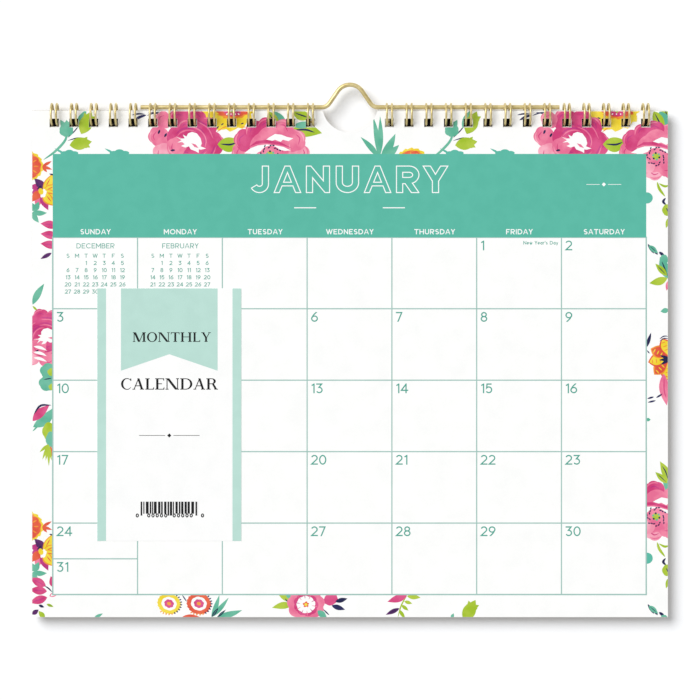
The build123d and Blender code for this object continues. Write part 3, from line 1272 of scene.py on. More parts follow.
    def top_run(self) -> None:
        """The group that is repeated along the top edge."""
        self.moved(42.4 + 0.4j).pencilled_twigs()
        for x, reach in ((16, 4.2), (37.5, 4.6)):
            self.art.fill(Ink.TEAL, blob(x + 18.6j, reach, 0.5, 0, 6, 0.2))
            self.leaf(Ink.TEAL, x - 2 + 18.3j, x - 6.4 + 15.9j, 0.9)
        self.sunny_bloom(83.2 - 0.4j, 12.8)
        self.leaf(Ink.LEAF_TEAL, 104 + 0j, 108 + 10j, 6)
        self.leaf(Ink.LIME, 112 + 0.4j, 120 + 3.2j, 4.6, Ink.NAVY)
        self.leaf(Ink.LIME, 110 + 8j, 124.5 + 9.4j, 6.4, Ink.NAVY, -0.8)
        self.leaf(Ink.LEAF_TEAL, 112 + 6.4j, 121.5 + 5.2j, 3)
        self.leaf(Ink.LIME, 101.4 + 0j, 106 + 8.8j, 4.6, Ink.NAVY)
        self.rose(67.6 + 12.4j, 13.2, 0)
        self.leaf(Ink.LIME, 79.6 + 14.2j, 90.4 + 13j, 6.4, Ink.NAVY, 0.7)
        self.spray(Ink.LEAF_TEAL, 149 + 20j, (141 + 11j, 146.4 + 2.2j, 149.4 + 2j), 2.4)
        self.spray(Ink.LEAF_TEAL, 149.6 + 20.4j, (156 + 9.6j, 157.6 + 14.4j), 3.4)

    def side_run(self) -> None:
        """The group that is repeated down the left edge."""
        self.ruffled_bloom(-2.4 + 23.6j, 7.6, 0)
        for tip in (8.4 + 21.4j, 8.6 + 25j, 6.4 + 26.2j):
            self.leaf(Ink.CORAL, 4.4 + 23.6j, tip, 1.3)
        self.jewel_cluster(4.8 + 34.4j, 8.4)
        self.spray(Ink.LEAF_TEAL, 0.2 + 43.2j, (6.4 + 43.6j, 2.9 + 47.8j), 2.3)
        self.spray(Ink.LEAF_TEAL, 0.2 + 42.8j, (2.9 + 38.8j, -1 + 39j), 2.7)

    def left_edge(self) -> None:
        """What runs down the left edge besides the repeated group."""
        self.leaf(Ink.LEAF_TEAL, 0.2 + 83j, 5.2 + 74j, 2.9, bend=-0.3)
        self.leaf(Ink.LIME, 0.2 + 83.6j, 2.6 + 86j, 0.9)
        self.rose(5.6 + 96.6j, 11.4, -30)
        for y in (101, 103.4, 105.8):
            self.leaf(Ink.PAPER, complex(0.6, y), complex(6.4, y + 1.8), 1.3, bend=-0.4)
        for spot, radius, ink in ((7.2 + 111.6j, 3.9, Ink.LEAF_TEAL), (8.4 + 112j, 1.9, Ink.LIME),
                                  (6.6 + 116.8j, 3.8, Ink.LEAF_TEAL), (8.6 + 118.4j, 1.6, Ink.LIME)):
            self.art.fill(ink, blob(spot, radius, 0.9, 10, 5, 0.1))
        self.art.dab(Ink.NAVY, [5 + 115.2j, 8.4 + 114.6j], 0.5)
        self.leaf(Ink.LEAF_TEAL, 0.4 + 135.6j, 9.6 + 127j, 4.6, bend=1.2)
        self.leaf(Ink.PINK, 0.2 + 133j, 7.4 + 126.2j, 3.8, bend=-0.3)
        self.art.dab(Ink.NAVY, [0.8 + 130j, 3.6 + 126.4j, 8.2 + 126.2j], 0.9)
        self.art.dab(Ink.LEAF_TEAL, [0.2 + 137.4j, 3 + 134.6j], 0.7)
        self.art.fill(Ink.LIME, blob(7.4 + 137.4j, 3.1, 1.3, 0, 5, 0.1))
        self.art.fill(Ink.LEAF_TEAL, blob(8.2 + 141j, 2.4, 1.5, 0, 5, 0.1))
        self.leaf(Ink.CORAL, 8 + 148.6j, 8 + 143.8j, 2.1)
        for x, y in ((3.2, 146.4), (4.4, 149.6), (5.8, 150), (7.2, 152.4), (8.4, 150)):
            self.leaf(Ink.LIME, complex(7, 143), complex(x, y), 1.2)
        for y in (49.6, 54, 58.2):
            self.leaf(Ink.PINK, complex(11, y), complex(3.6, y - 1.4), 3.5, Ink.MAGENTA, 0.3)
        self.leaf(Ink.PLUM, 8.4 + 60.8j, 3.6 + 63.4j, 1.7, Ink.NAVY)
        petals = ((5.9 + 203.9j, -0.8 + 200.3j), (6.4 + 206.1j, -1 + 205.4j), (6.5 + 208.7j, -1 + 211j))
        for base, tip in petals:
            self.leaf(Ink.PINK, base, tip, 3.6, Ink.MAGENTA)
        self.leaf(Ink.PINK, 9.6 + 204.6j, 8 + 199.6j, 3)
        self.art.dab(Ink.NAVY, [5.4 + 203.8j, 7 + 204.8j, 8.6 + 206.4j], 0.6)
        self.leaf(Ink.ROSE, 7.4 + 208.2j, 11.4 + 206.6j, 2)
        self.leaf(Ink.PAPER, 7.9 + 208j, 10.6 + 206.9j, 1.1)
        self.leaf(Ink.NAVY, 2.8 + 212j, 5.2 + 213j, 1.2)
        self.leaf(Ink.LIME, 6.2 + 211.6j, 9.2 + 212.8j, 1.2, Ink.NAVY)
        self.leaf(Ink.PLUM, 0 + 216j, 2.8 + 214j, 2)
        self.leaf(Ink.LIME, 5.4 + 217.6j, 2.8 + 214.6j, 2.2)

    def right_run(self) -> None:
        """The group that is repeated down the right edge, from that edge's top."""
        self.peony(-5 + 17j, 14.6, 5)
        self.leaf(Ink.LEAF_TEAL, 0.6 + 0.4j, -1 + 8j, 4)
        self.leaf(Ink.LIME, 0.6 + 4.6j, -3.4 - 4.4j, 3.6, Ink.NAVY, 0.4)
        self.leaf(Ink.LIME, -0.2 + 5j, -5.4 + 0.2j, 2.6, Ink.NAVY)
        self.art.dab(Ink.LIME, [-4.6 + 30.4j, -3.6 + 33.4j, -1.2 + 36.6j], 1.2)
        self.art.dab(Ink.LIME, [-3.8 + 31j, -1.4 + 32.2j, 0.4 + 31.8j], 1.0)
        self.art.fill(Ink.TEAL, blob(-9 + 37.2j, 2.5, 0.96))
        self.art.dab(Ink.NAVY, [-1 + 37.2j, -2 + 38.8j, -0.8 + 40.2j], 1.1)
        self.art.fill(Ink.LIME, blob(-0.2 + 42.4j, 2.3, 1.1, 0, 5, 0.06))
        self.art.dab(Ink.NAVY, [-0.8 + 41.4j, 0.6 + 43.8j], 0.5)
        self.leaf(Ink.LIME, 0.4 + 45.6j, -0.8 + 50.2j, 1.6)
        twigs = ((-8.6 + 57j, -6 + 61j), (-6.8 + 58.4j, -4.4 + 61.6j), (-3.8 + 60.4j, -1.6 + 62j))
        self.flecks(twigs, 1.3)
        self.leaf(Ink.LEAF_TEAL, -8.2 + 57.6j, -4.2 + 61j, 2.2, Ink.NAVY)
        self.art.fill(Ink.LEAF_TEAL, blob(-1.4 + 63.4j, 1.6, 1.3, -30, 5, 0.1))

    def right_edge(self) -> None:
        """What runs down the right edge besides the repeated group, from that edge's top."""
        self.leaf(Ink.LEAF_TEAL, 0.4 + 72j, -3.4 + 62.4j, 4.4, Ink.NAVY)
        self.leaf(Ink.LIME, -0.4 + 70.6j, -5.4 + 65.4j, 2.6, Ink.NAVY)
        self.leaf(Ink.LIME, -0.2 + 71.6j, -8 + 73.8j, 3.4, bend=-0.4)
        self.leaf(Ink.ROSE, 0.4 + 72.6j, -0.6 + 77j, 1.8)
        self.leaf(Ink.LEAF_TEAL, 0.4 + 85.2j, -3.2 + 86j, 2.2)
        self.leaf(Ink.NAVY, -9.2 + 101.4j, -7.2 + 95j, 1.5)
        self.art.dab(Ink.NAVY, [-9 + 102.6j, -7.8 + 104j], 0.5)
        self.striped_bloom(1 + 106.4j, 9.6)
        for step in (0j, 1j):
            self.moved(step).art.dab(Ink.NAVY, [-3.6 + 97.8j, -1.8 + 96.6j, 0.2 + 96.6j], 0.5)
        self.leaf(Ink.ROSE, -1.8 + 112.6j, -0.4 + 126.4j, 4.2, Ink.PINK, 0.5)
        twigs = ((-8.8 + 123.4j, -6 + 122.6j), (-8.6 + 125j, -5.2 + 124.2j), (-5 + 123j, -2.4 + 121.4j))
        self.flecks(twigs, 0.8)
        self.leaf(Ink.LEAF_TEAL, -9.4 + 132.4j, -7.4 + 132.4j, 1.5)

    def bottom_edge(self) -> None:
        """What runs along the bottom edge."""
        self.leaf(Ink.LEAF_TEAL, 26.4 + 217.8j, 30.4 + 215.6j, 1.4)
        self.round_flower(Ink.YELLOW, 58.8 + 211.4j, 5.4, 20)
        self.round_flower(Ink.CORAL, 71.6 + 211.4j, 5.6, 15)
        self.art.dab(Ink.NAVY, [64.4 + 207.6j, 66.4 + 210.6j], 0.5)
        self.leaf(Ink.CORAL, 63.6 + 217.8j, 73 + 217.6j, 3.4)
        self.spray(Ink.LEAF_TEAL, 77 + 217.2j, (80.4 + 207.6j, 84.4 + 208.8j), 2.0)
        self.spray(Ink.LEAF_TEAL, 79.4 + 217j, (90.2 + 214.2j,), 2.6)
        self.leaf(Ink.NAVY, 77.2 + 217j, 80 + 213.2j, 1.3, Ink.LEAF_TEAL)
        self.leaf(Ink.NAVY, 79.6 + 217.2j, 83.2 + 214j, 1.0, Ink.LEAF_TEAL)
        for base, tip in ((112 + 212j, 103 + 213.2j), (111 + 210.4j, 105.4 + 207j)):
            self.leaf(Ink.LIME, base, tip, 3, bend=0.4)
        self.leaf(Ink.LEAF_TEAL, 111.4 + 209j, 108.8 + 207j, 2)
        self.art.dab(Ink.NAVY, [108.6 + 209.2j, 110.2 + 211.2j], 0.5)
        self.art.fill(Ink.PINK, blob(128.2 + 209.6j, 3.2, 0.8, -20, 5, 0.08))
        self.leaf(Ink.NAVY, 130.2 + 210.6j, 135.4 + 209.2j, 2)
        self.leaf(Ink.NAVY, 128.6 + 212.2j, 134.4 + 214j, 2.2)
        self.open_flower(117.6 + 211.8j, 8.2)
        self.leaf(Ink.LEAF_TEAL, 122.6 + 214.4j, 126.6 + 217.8j, 2.8)
        self.art.dab(Ink.NAVY, [125 + 213.8j, 127.6 + 216.4j], 0.6)
        self.art.dab(Ink.LIME, [161 + 207.8j, 158.6 + 212j, 157 + 217.4j], 0.6)
        self.leaf(Ink.PINK, 161 + 208j, 152.6 + 210.6j, 3.2)
        self.leaf(Ink.LIME, 161 + 208.2j, 166.8 + 208.8j, 2.2)
        self.leaf(Ink.PLUM, 157.8 + 213.4j, 151.8 + 216.2j, 1.9, Ink.NAVY)
        blades = (
            (159.8 + 210.4j, 163.2 + 211.4j), (158.6 + 212j, 161.6 + 214.4j), (157.6 + 214j, 160.2 + 218j)
        )
        for base, tip in blades:
            self.leaf(Ink.LIME, base, tip, 1.5)
        self.toothed_leaf(Ink.LIME, 185.4 + 218.8j, 190.4 + 209.8j, 5.6)
        self.leaf(Ink.LEAF_TEAL, 180 + 217.8j, 181 + 215.6j, 1.4)

    def paint(self) -> None:
        """Lays down the whole border."""
        for down in (0j, self.repeat_down * 1j):
            self.moved(self.width + down).right_run()
            self.moved(down).side_run()
        self.left_edge()
        self.moved(self.width).right_edge()
        self.bottom_edge()
        for across in (0.0, self.repeat_across):
            self.moved(across).top_run()
            self.moved(across + 4.9 + 20.8j).budded_sprig()
        self.peony(102.4 + 16.2j, 15.4, 0)
        self.peony(self.width - 5 + 17j, 14.6, 5)
        self.ruffled_bloom(163.2 + 22.6j, 7.9, 0)


# ---------------------------------------------------------------- the printed page


@dataclass(frozen=True)
class Month:
    """A month: its name, the column of its first day (Sunday is 0) and how many days it has."""

    name: str
    first_column: int
    days: int


DECEMBER = Month("DECEMBER", 2, 31)
JANUARY = Month("JANUARY", 5, 31)
FEBRUARY = Month("FEBRUARY", 1, 28)
MARCH = Month("MARCH", 1, 31)
WEEKDAYS = ("SUNDAY", "MONDAY", "TUESDAY", "WEDNESDAY", "THURSDAY", "FRIDAY", "SATURDAY")


@dataclass(frozen=True)
class MonthPage:
    """One month's page: a teal header over a grid of days, inside the floral border. Millimetres."""

    month: Month
    before: tuple[Month, int, int]
    after: tuple[Month, int, int]
    notes: tuple[tuple[int, str], ...] = ()
    width: float = 273.0
    height: float = 217.2
    left: float = 8.87
    right: float = 263.7
    top: float = 18.3
    header_bottom: float = 54.1
    bottom: float = 207.5
    rows: int = 5
    outer_line: float = 0.6
    inner_line: float = 0.5
    title_letters: PlainLettering = PlainLettering(11.8, 0.262, 0.205)
    title_shift: float = -0.6
    title_baseline: float = 35.1
    title_line: float = 0.42
    rule_width: float = 9.5
    rule_height: float = 0.44
    rule_gap: float = 14.3
    rule_y: float = 41.2
    weekday_letters: PlainLettering = PlainLettering(2.25, 0.175, 0.17)
    weekday_share: float = 0.503
    weekday_rise: float = 1.27
    ornament_y: float = 31.4
    ornament_width: float = 15.0
    header_overlap: float = 1.0
    figures: PlainLettering = PlainLettering(4.2, 0.125, 0.14)
    figure_place: complex = 1.7 + 5.6j
    note_letters: PlainLettering = PlainLettering(1.5, 0.16, 0.14)
    note_place: complex = -1.4 + 3.1j
    small_title: PlainLettering = PlainLettering(2.15, 0.13, 0.16)
    small_title_place: complex = 0.15 + 4.75j
    small_figures: PlainLettering = PlainLettering(1.75, 0.15, 0.13)
    small_initials_drop: float = 8.8
    small_days_drop: float = 11.9
    small_pitch_x: float = 3.89
    small_pitch_y: float = 3.07

    @property
    def column(self) -> float:
        """The width of a day's column."""
        return (self.right - self.left) / len(WEEKDAYS)

    @property
    def row(self) -> float:
        """The height of a week's row."""
        return (self.bottom - self.header_bottom) / self.rows

    def compose(self) -> Artwork:
        """Lays out everything that is printed on the page.

        Returns:
            The artwork, lowest shape first.
        """
        art = Artwork()
        FloralBorder(art, self.width, self.height).paint()
        art.fill(Ink.PAPER, box_outline(self.left, self.top, self.right, self.bottom))
        art.fill(Ink.TEAL, box_outline(self.left, self.top, self.right, self.header_bottom))
        self._title(art)
        self._grid(art)
        self._numerals(art)
        for month, column, row in (self.before, self.after):
            place = complex(self.left + (column + 0.5) * self.column, self.header_bottom + row * self.row)
            self._small_month(art, month, place)
        return art

    def _title(self, art: Artwork) -> None:
        """The month's name in hollow letters, two rules, the weekdays and a small ornament.

        Args:
            art: what they are laid down on.
        """
        middle = (self.left + self.right) / 2
        place = complex(middle + self.title_shift, self.title_baseline)
        letters = self.title_letters
        letters.write_hollow(art, Ink.PAPER, Ink.TEAL, self.month.name, place, self.title_line)
        for start in (middle - self.rule_gap - self.rule_width, middle + self.rule_gap):
            end = start + self.rule_width
            art.fill(Ink.PAPER, box_outline(start, self.rule_y, end, self.rule_y + self.rule_height))
        baseline = self.header_bottom - self.weekday_rise
        for i, name in enumerate(WEEKDAYS):
            place = complex(self.left + (i + self.weekday_share) * self.column, baseline)
            self.weekday_letters.write(art, Ink.PAPER, name, place, Align.CENTRE)
        centre = complex(self.right - self.column / 2, self.ornament_y)
        ornament(art, Ink.PAPER, centre, self.ornament_width)

    def _grid(self, art: Artwork) -> None:
        """The lines between the days and round them.

        Args:
            art: what they are laid down on.
        """
        columns = [self.left + i * self.column for i in range(1, len(WEEKDAYS))]
        runs = [(complex(x, self.header_bottom), complex(x, self.bottom)) for x in columns]
        rows = [self.header_bottom + i * self.row for i in range(1, self.rows)]
        runs += [(complex(self.left, y), complex(self.right, y)) for y in rows]
        if self.month.first_column + self.month.days > len(WEEKDAYS) * self.rows:
            y = self.bottom - self.row / 2
            runs.append((complex(self.left, y), complex(self.left + self.column, y)))
        for run in runs:
            art.line(Ink.LINE_TEAL, run, self.inner_line)
        art.frame(Ink.LINE_TEAL, self.left, self.header_bottom, self.right, self.bottom, self.outer_line)
        overlap_top = self.header_bottom - self.header_overlap
        art.fill(Ink.TEAL, box_outline(self.left, overlap_top, self.right, self.header_bottom))

    def _numerals(self, art: Artwork) -> None:
        """Every day's figure, and the note beside it where it has one.

        Args:
            art: what they are laid down on.
        """
        notes = dict(self.notes)
        for day in range(1, self.month.days + 1):
            row, column = divmod(self.month.first_column + day - 1, len(WEEKDAYS))
            drop = min(row, self.rows - 1) * self.row + (self.row / 2 if row >= self.rows else 0.0)
            corner = complex(self.left + column * self.column, self.header_bottom + drop)
            self.figures.write(art, Ink.FIGURE_TEAL, str(day), corner + self.figure_place)
            if day in notes:
                end = corner + self.column + self.note_place
                self.note_letters.write(art, Ink.FIGURE_TEAL, notes[day], end, Align.RIGHT)

    def _small_month(self, art: Artwork, month: Month, place: complex) -> None:
        """A neighbouring month in small figures.

        Args:
            art: what it is laid down on.
            month: the month.
            place: the middle of its cell's top.
        """
        title_place = place + self.small_title_place
        self.small_title.write(art, Ink.FIGURE_TEAL, month.name, title_place, Align.CENTRE)
        steps = [(column - len(WEEKDAYS) // 2) * self.small_pitch_x for column in range(len(WEEKDAYS))]
        tiny = self.small_figures
        for step, name in zip(steps, WEEKDAYS):
            spot = place + complex(step, self.small_initials_drop)
            tiny.write(art, Ink.FIGURE_TEAL, name[0], spot, Align.CENTRE)
        for day in range(1, month.days + 1):
            row, column = divmod(month.first_column + day - 1, len(WEEKDAYS))
            spot = place + complex(steps[column], self.small_days_drop + row * self.small_pitch_y)
            tiny.write(art, Ink.FIGURE_TEAL, str(day), spot, Align.CENTRE)


def ornament(art: Artwork, ink: Ink, centre: complex, width: float) -> None:
    """A plain rule broken by a small diamond.

    Args:
        art: what it is laid down on.
        ink: its ink.
        centre: the diamond's middle.
        width: the rule's full width.
    """
    gap = 1.8
    size = 0.9
    thickness = 0.22
    for way in (-1, 1):
        art.line(ink, [centre + way * gap, centre + way * width / 2], thickness)
    art.fill(ink, [centre - size, centre - size * 1j, centre + size, centre + size * 1j])


@dataclass(frozen=True)
class LabelFace:
    """What is printed on the cover label: mint bars and pennant, two words and a strip of bars."""

    width: float = 61.9
    height: float = 108.5
    bar_width: float = 3.8
    pennant_left: float = 10.2
    pennant_width: float = 41.5
    pennant_drop: float = 35.4
    pennant_notch: float = 28.3
    strip_width: float = 24.6
    strip_top: float = 91.6
    strip_height: float = 6.0
    bar_widths: tuple[float, ...] = (0.5, 0.7, 1.0, 1.2)
    bar_gaps: tuple[float, ...] = (0.3, 0.45, 0.6)
    bar_rise: float = 0.8
    bar_seed: int = 4
    noughts: PlainLettering = PlainLettering(1.72, 0.26, 0.26)
    nought_shares: tuple[float, float] = (0.29, 0.735)
    nought_before: float = 2.1
    nought_after: float = 1.3
    first_word: SerifLettering = SerifLettering(4.1, 0.11)
    first_place: complex = 1.1 + 23j
    second_word: SerifLettering = SerifLettering(4.84, 0.1)
    second_place: complex = 0.1 + 43.5j
    ornament_y: float = 63.2
    ornament_width: float = 26.0

    def compose(self) -> Artwork:
        """Lays out everything that is printed on the label.

        Returns:
            The artwork, lowest shape first.
        """
        art = Artwork()
        for x in (0.0, self.width - self.bar_width):
            art.fill(Ink.MINT, box_outline(x, 0, x + self.bar_width, self.height))
        left = self.pennant_left
        right = left + self.pennant_width
        middle = (left + right) / 2
        tail = [complex(right, self.pennant_drop), complex(middle, self.pennant_notch)]
        pennant = [complex(left, 0), complex(right, 0), *tail, complex(left, self.pennant_drop)]
        art.fill(Ink.MINT, pennant)
        self.first_word.write(art, Ink.BLACK, "MONTHLY", middle + self.first_place)
        self.second_word.write(art, Ink.BLACK, "CALENDAR", middle + self.second_place)
        ornament(art, Ink.BLACK, complex(middle, self.ornament_y), self.ornament_width)
        self._strip(art.moved(complex(middle - self.strip_width / 2, self.strip_top)))
        return art

    def _strip(self, art: Artwork) -> None:
        """A strip of upright bars of uneven width, with plain noughts at its foot.

        Args:
            art: what it is laid down on, from the strip's upper left corner.
        """
        dice = random.Random(self.bar_seed)
        x = 0.0
        while x < self.strip_width:
            width = dice.choice(self.bar_widths)
            in_middle = abs(x - self.strip_width / 2) < self.bar_rise
            is_long = x == 0.0 or in_middle or x > self.strip_width - 2 * self.bar_rise
            foot = self.strip_height if is_long else self.strip_height - self.bar_rise
            art.fill(Ink.BLACK, box_outline(x, 0, min(x + width, self.strip_width), foot))
            x += width + dice.choice(self.bar_gaps)
        baseline = (self.strip_height + self.bar_rise) * 1j
        for share in self.nought_shares:
            middle = baseline + self.strip_width * share
            self.noughts.write(art, Ink.BLACK, "00000", middle, Align.CENTRE)
        for start in (-self.nought_before, self.strip_width + self.nought_after):
            self.noughts.write(art, Ink.BLACK, "0", baseline + start)


# ---------------------------------------------------------------- sheets and films


@dataclass
class FlatMap:
    """Flattened shapes: shared points, and the triangles in which each ink is on top."""

    points: list[complex]
    triangles: dict[Ink, list[tuple[int, int, int]]]


def flattened(
    sheet: Outline, windows: Sequence[Outline], shapes: Sequence[tuple[Ink, Outline]]
) -> FlatMap:
    """Works out which ink shows where, so that no two films overlap.

    Args:
        sheet: the sheet's outline.
        windows: what is cut out of it.
        shapes: the artwork, lowest first.

    Returns:
        The map; under PAPER it holds what is left unprinted.
    """
    corners: list[Vector] = []
    faces: list[list[int]] = []
    owners: list[Ink | None] = []
    for ink, drawn in [(Ink.PAPER, sheet), *shapes, *((None, window) for window in windows)]:
        outline = [b for a, b in zip(drawn[-1:] + drawn[:-1], drawn) if abs(b - a) > 0.002]
        area = sum((a.conjugate() * b).imag for a, b in zip(outline, outline[1:] + outline[:1]))
        if abs(area) < 1e-5:
            continue
        ordered = outline if area > 0 else outline[::-1]
        faces.append(list(range(len(corners), len(corners) + len(ordered))))
        corners += [Vector((p.real, p.imag)) for p in ordered]
        owners.append(ink)
    points, _, found, _, _, sources = delaunay_2d_cdt(corners, [], faces, 1, 1e-4)
    places = [complex(p.x, p.y) for p in points]
    triangles: dict[Ink, list[tuple[int, int, int]]] = {}
    for (a, b, c), covering in zip(found, sources):
        owner = owners[max(covering)] if 0 in covering else None
        if owner is None:
            continue
        turned = ((places[b] - places[a]).conjugate() * (places[c] - places[a])).imag < 0
        triangles.setdefault(owner, []).append((a, c, b) if turned else (a, b, c))
    return FlatMap(places, triangles)


@dataclass(frozen=True)
class Stand:
    """Where a flat sheet stands: its left and top edges and its front face, in metres."""

    left: float
    top: float
    front: float

    @classmethod
    def of_node(cls, node: str) -> "Stand":
        """Where a CAD node's front face stands."""
        low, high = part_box(node)
        return cls(low.x, high.z, low.y)

    def plate(self, name: str, flat: FlatMap, ink: Ink, front: float, back: float) -> bpy.types.Object:
        """Builds a thin closed plate of the triangles of one ink.

        Args:
            name: the piece's name.
            flat: the flattened shapes.
            ink: which of them.
            front: how far the plate's front is behind the sheet's front face, in metres.
            back: how far its back is.

        Returns:
            The new mesh object.
        """
        triangles = flat.triangles[ink]
        used = sorted({i for triangle in triangles for i in triangle})
        number = {old: new for new, old in enumerate(used)}
        count = len(used)
        across = [self.left + flat.points[i].real * MILLIMETRE for i in used]
        up = [self.top - flat.points[i].imag * MILLIMETRE for i in used]
        vertices = [(x, self.front + front, z) for x, z in zip(across, up)]
        vertices += [(x, self.front + back, z) for x, z in zip(across, up)]
        faces: list[tuple[int, ...]] = []
        edges: set[tuple[int, int]] = set()
        for a, b, c in ((number[a], number[b], number[c]) for a, b, c in triangles):
            faces.append((c, b, a))
            faces.append((a + count, b + count, c + count))
            edges.update(((a, b), (b, c), (c, a)))
        faces += [(a, b, b + count, a + count) for a, b in sorted(edges) if (b, a) not in edges]
        mesh = bpy.data.meshes.new(name)
        mesh.from_pydata(vertices, [], faces)
        piece = bpy.data.objects.new(name, mesh)
        bpy.context.scene.collection.objects.link(piece)
        return piece


def settle(piece: bpy.types.Object, material: bpy.types.Material, body: str) -> None:
    """Gives a new piece its finish, its body and its material slot, and reports it.

    Args:
        piece: the new piece.
        material: its finish.
        body: the body that it rides on.
    """
    piece.data.materials.append(material)
    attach(piece, body)
    log.info("%s rides on %s: %d faces", piece.name, body, len(piece.data.polygons))


def dress_node(node: str, material: bpy.types.Material) -> None:
    """Gives a CAD node its finish.

    Args:
        node: the node's name.
        material: its finish.
    """
    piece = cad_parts[node]
    for place in piece.material_slots:
        place.material = material
    if not piece.material_slots:
        piece.data.materials.append(material)
    log.info("%s keeps its CAD shape: %d faces", node, len(piece.data.polygons))


@dataclass(frozen=True)
class Punching:
    """The cuts along a sheet's top edge: square holes, three to the inch, and a half-moon. Millimetres."""

    page_width: float = 273.0
    page_height: float = 217.2
    pitch: float = 25.4 / 3
    positions: int = 31
    skipped: int = 3
    hole_width: float = 4.0
    hole_height: float = 3.75
    edge_margin: float = 3.15
    moon_radius: float = 12.0
    moon_rise: float = 2.85

    def outline(self, trim: float = 0.0) -> Outline:
        """The sheet's outline, less a trim all round."""
        return box_outline(trim, trim, self.page_width - trim, self.page_height - trim)

    def windows(self, moon_allowance: float = 0.0, trim: float = 0.0) -> list[Outline]:
        """The holes and the half-moon.

        Args:
            moon_allowance: how much larger the half-moon's radius is than the front leaf's.
            trim: how much wider every cut is on each side.

        Returns:
            One outline for each cut.
        """
        middle = (self.positions - 1) / 2
        centres = [i - middle for i in range(self.positions) if abs(i - middle) > self.skipped / 2]
        top = self.edge_margin - trim
        bottom = self.edge_margin + self.hole_height + trim
        half = self.hole_width / 2 + trim
        holes = []
        for offset in centres:
            x = self.page_width / 2 + offset * self.pitch
            holes.append(box_outline(x - half, top, x + half, bottom))
        moon = bow(complex(self.page_width / 2, -self.moon_rise), self.moon_radius + moon_allowance + trim,
                   self.moon_radius + moon_allowance + trim, 0, 354, 6)
        return [*holes, moon]


@dataclass(frozen=True)
class FilmPrinter:
    """Turns artwork into films of ink on a sheet's face, one for each colour. Metres."""

    film_front: float = -0.00002
    film_back: float = 0.00001

    def run(self, prefix: str, stand: Stand, flat: FlatMap, body: str, slot: str) -> None:
        """Builds the films.

        Args:
            prefix: the start of their names.
            stand: where the sheet stands.
            flat: the flattened artwork.
            body: the body that they ride on.
            slot: a material slot of the record; not used.
        """
        for ink in INK_TONES:
            if ink in flat.triangles:
                film = stand.plate(f"{prefix}_{ink.value}_ink", flat, ink, self.film_front, self.film_back)
                settle(film, ink_material(ink), body)


def ink_material(ink: Ink) -> bpy.types.Material:
    """The finish of an ink, built once."""
    return bpy.data.materials.get(f"{ink.value}_ink") or InkFinish(ink).material()


# ---------------------------------------------------------------- the calendar


@dataclass(frozen=True)
class FrontLeaf:
    """January's leaf with its print, and the label on its face."""

    punching: Punching
    printer: FilmPrinter
    print_trim: float = 0.04

    def build(self, page: MonthPage) -> None:
        """Prints the leaf and the label.

        Args:
            page: what is printed on the leaf.
        """
        trim = self.print_trim
        leaf = self.punching.outline(trim)
        windows = self.punching.windows(trim=trim)
        flat = flattened(leaf, windows, page.compose().shapes)
        self.printer.run("january", Stand.of_node("january_sheet"), flat, "front_leaf", "printed_leaf")
        label = LabelFace()
        card = box_outline(trim, trim, label.width - trim, label.height - trim)
        flat_label = flattened(card, [], label.compose().shapes)
        self.printer.run("label", Stand.of_node("cover_label"), flat_label, "front_leaf", "label_card")

    def dress(self) -> None:
        """Gives the leaf and the label their papers."""
        dress_node("january_sheet", PaperFinish().material())
        darker = (0.925, 0.93, 0.925)
        paler = (0.96, 0.96, 0.955)
        card = PaperFinish("label_card_stock", darker, paler, roughness=0.36, coat=0.25)
        dress_node("cover_label", card.material())


@dataclass(frozen=True)
class FollowingLeaves:
    """The eleven leaves behind the front one, each cut and hung a hair apart. Metres."""

    punching: Punching
    printer: FilmPrinter
    count: int = 11
    thickness: float = 0.0001
    rise: float = 0.0003
    shift: float = -0.0002
    stray: float = 0.00012
    seed: int = 11
    moon_allowance: float = 0.7
    print_trim: float = 0.04

    def stands(self) -> list[Stand]:
        """Where each leaf hangs, the foremost first."""
        low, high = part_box("following_sheets")
        pitch = (high.y - low.y) / self.count
        dice = random.Random(self.seed)
        stands = []
        for i in range(self.count):
            share = i / (self.count - 1)
            left = low.x - self.shift * (1 - share) + dice.uniform(0, self.stray)
            top = high.z - self.rise * (1 - share) - dice.uniform(0, self.stray)
            stands.append(Stand(left, top, low.y + i * pitch))
        return stands

    def build(self, page: MonthPage) -> None:
        """Cuts the leaves and prints the first of them.

        Args:
            page: what is printed on the first of them.
        """
        flat = flattened(self.punching.outline(), self.punching.windows(self.moon_allowance), [])
        # The leaves behind take a darker copy of the front leaf's paper: painted shade for the stack behind
        # it.
        darker = (0.85, 0.855, 0.845)
        paler = (0.91, 0.91, 0.9)
        paper = PaperFinish("following_paper_painted_shade", darker, paler).material()
        stands = self.stands()
        for i, stand in enumerate(stands):
            leaf = stand.plate(f"following_leaf_{i + 1:02d}", flat, Ink.PAPER, 0.0, self.thickness)
            settle(leaf, paper, "calendar")
        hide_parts("following_sheets")
        sheet = self.punching.outline(self.print_trim)
        windows = self.punching.windows(self.moon_allowance, self.print_trim)
        printed = flattened(sheet, windows, page.compose().shapes)
        self.printer.run("february", stands[0], printed, "calendar", "printed_leaf")


@dataclass(frozen=True)
class Hardware:
    """The board, the two wire bindings and the folded wire that hangs from the nail."""

    def dress(self) -> None:
        """Gives each of them its finish."""
        dress_node("backing_board", GreyboardFinish().material())
        binding = GoldWireFinish("gold_binding_wire").material()
        for node in ("left_wire_binding", "right_wire_binding"):
            dress_node(node, binding)
        hanger = GoldWireFinish("gold_hanger_wire", roughness=0.3).material()
        dress_node("hanger_wire", hanger)


# ---------------------------------------------------------------- the studio


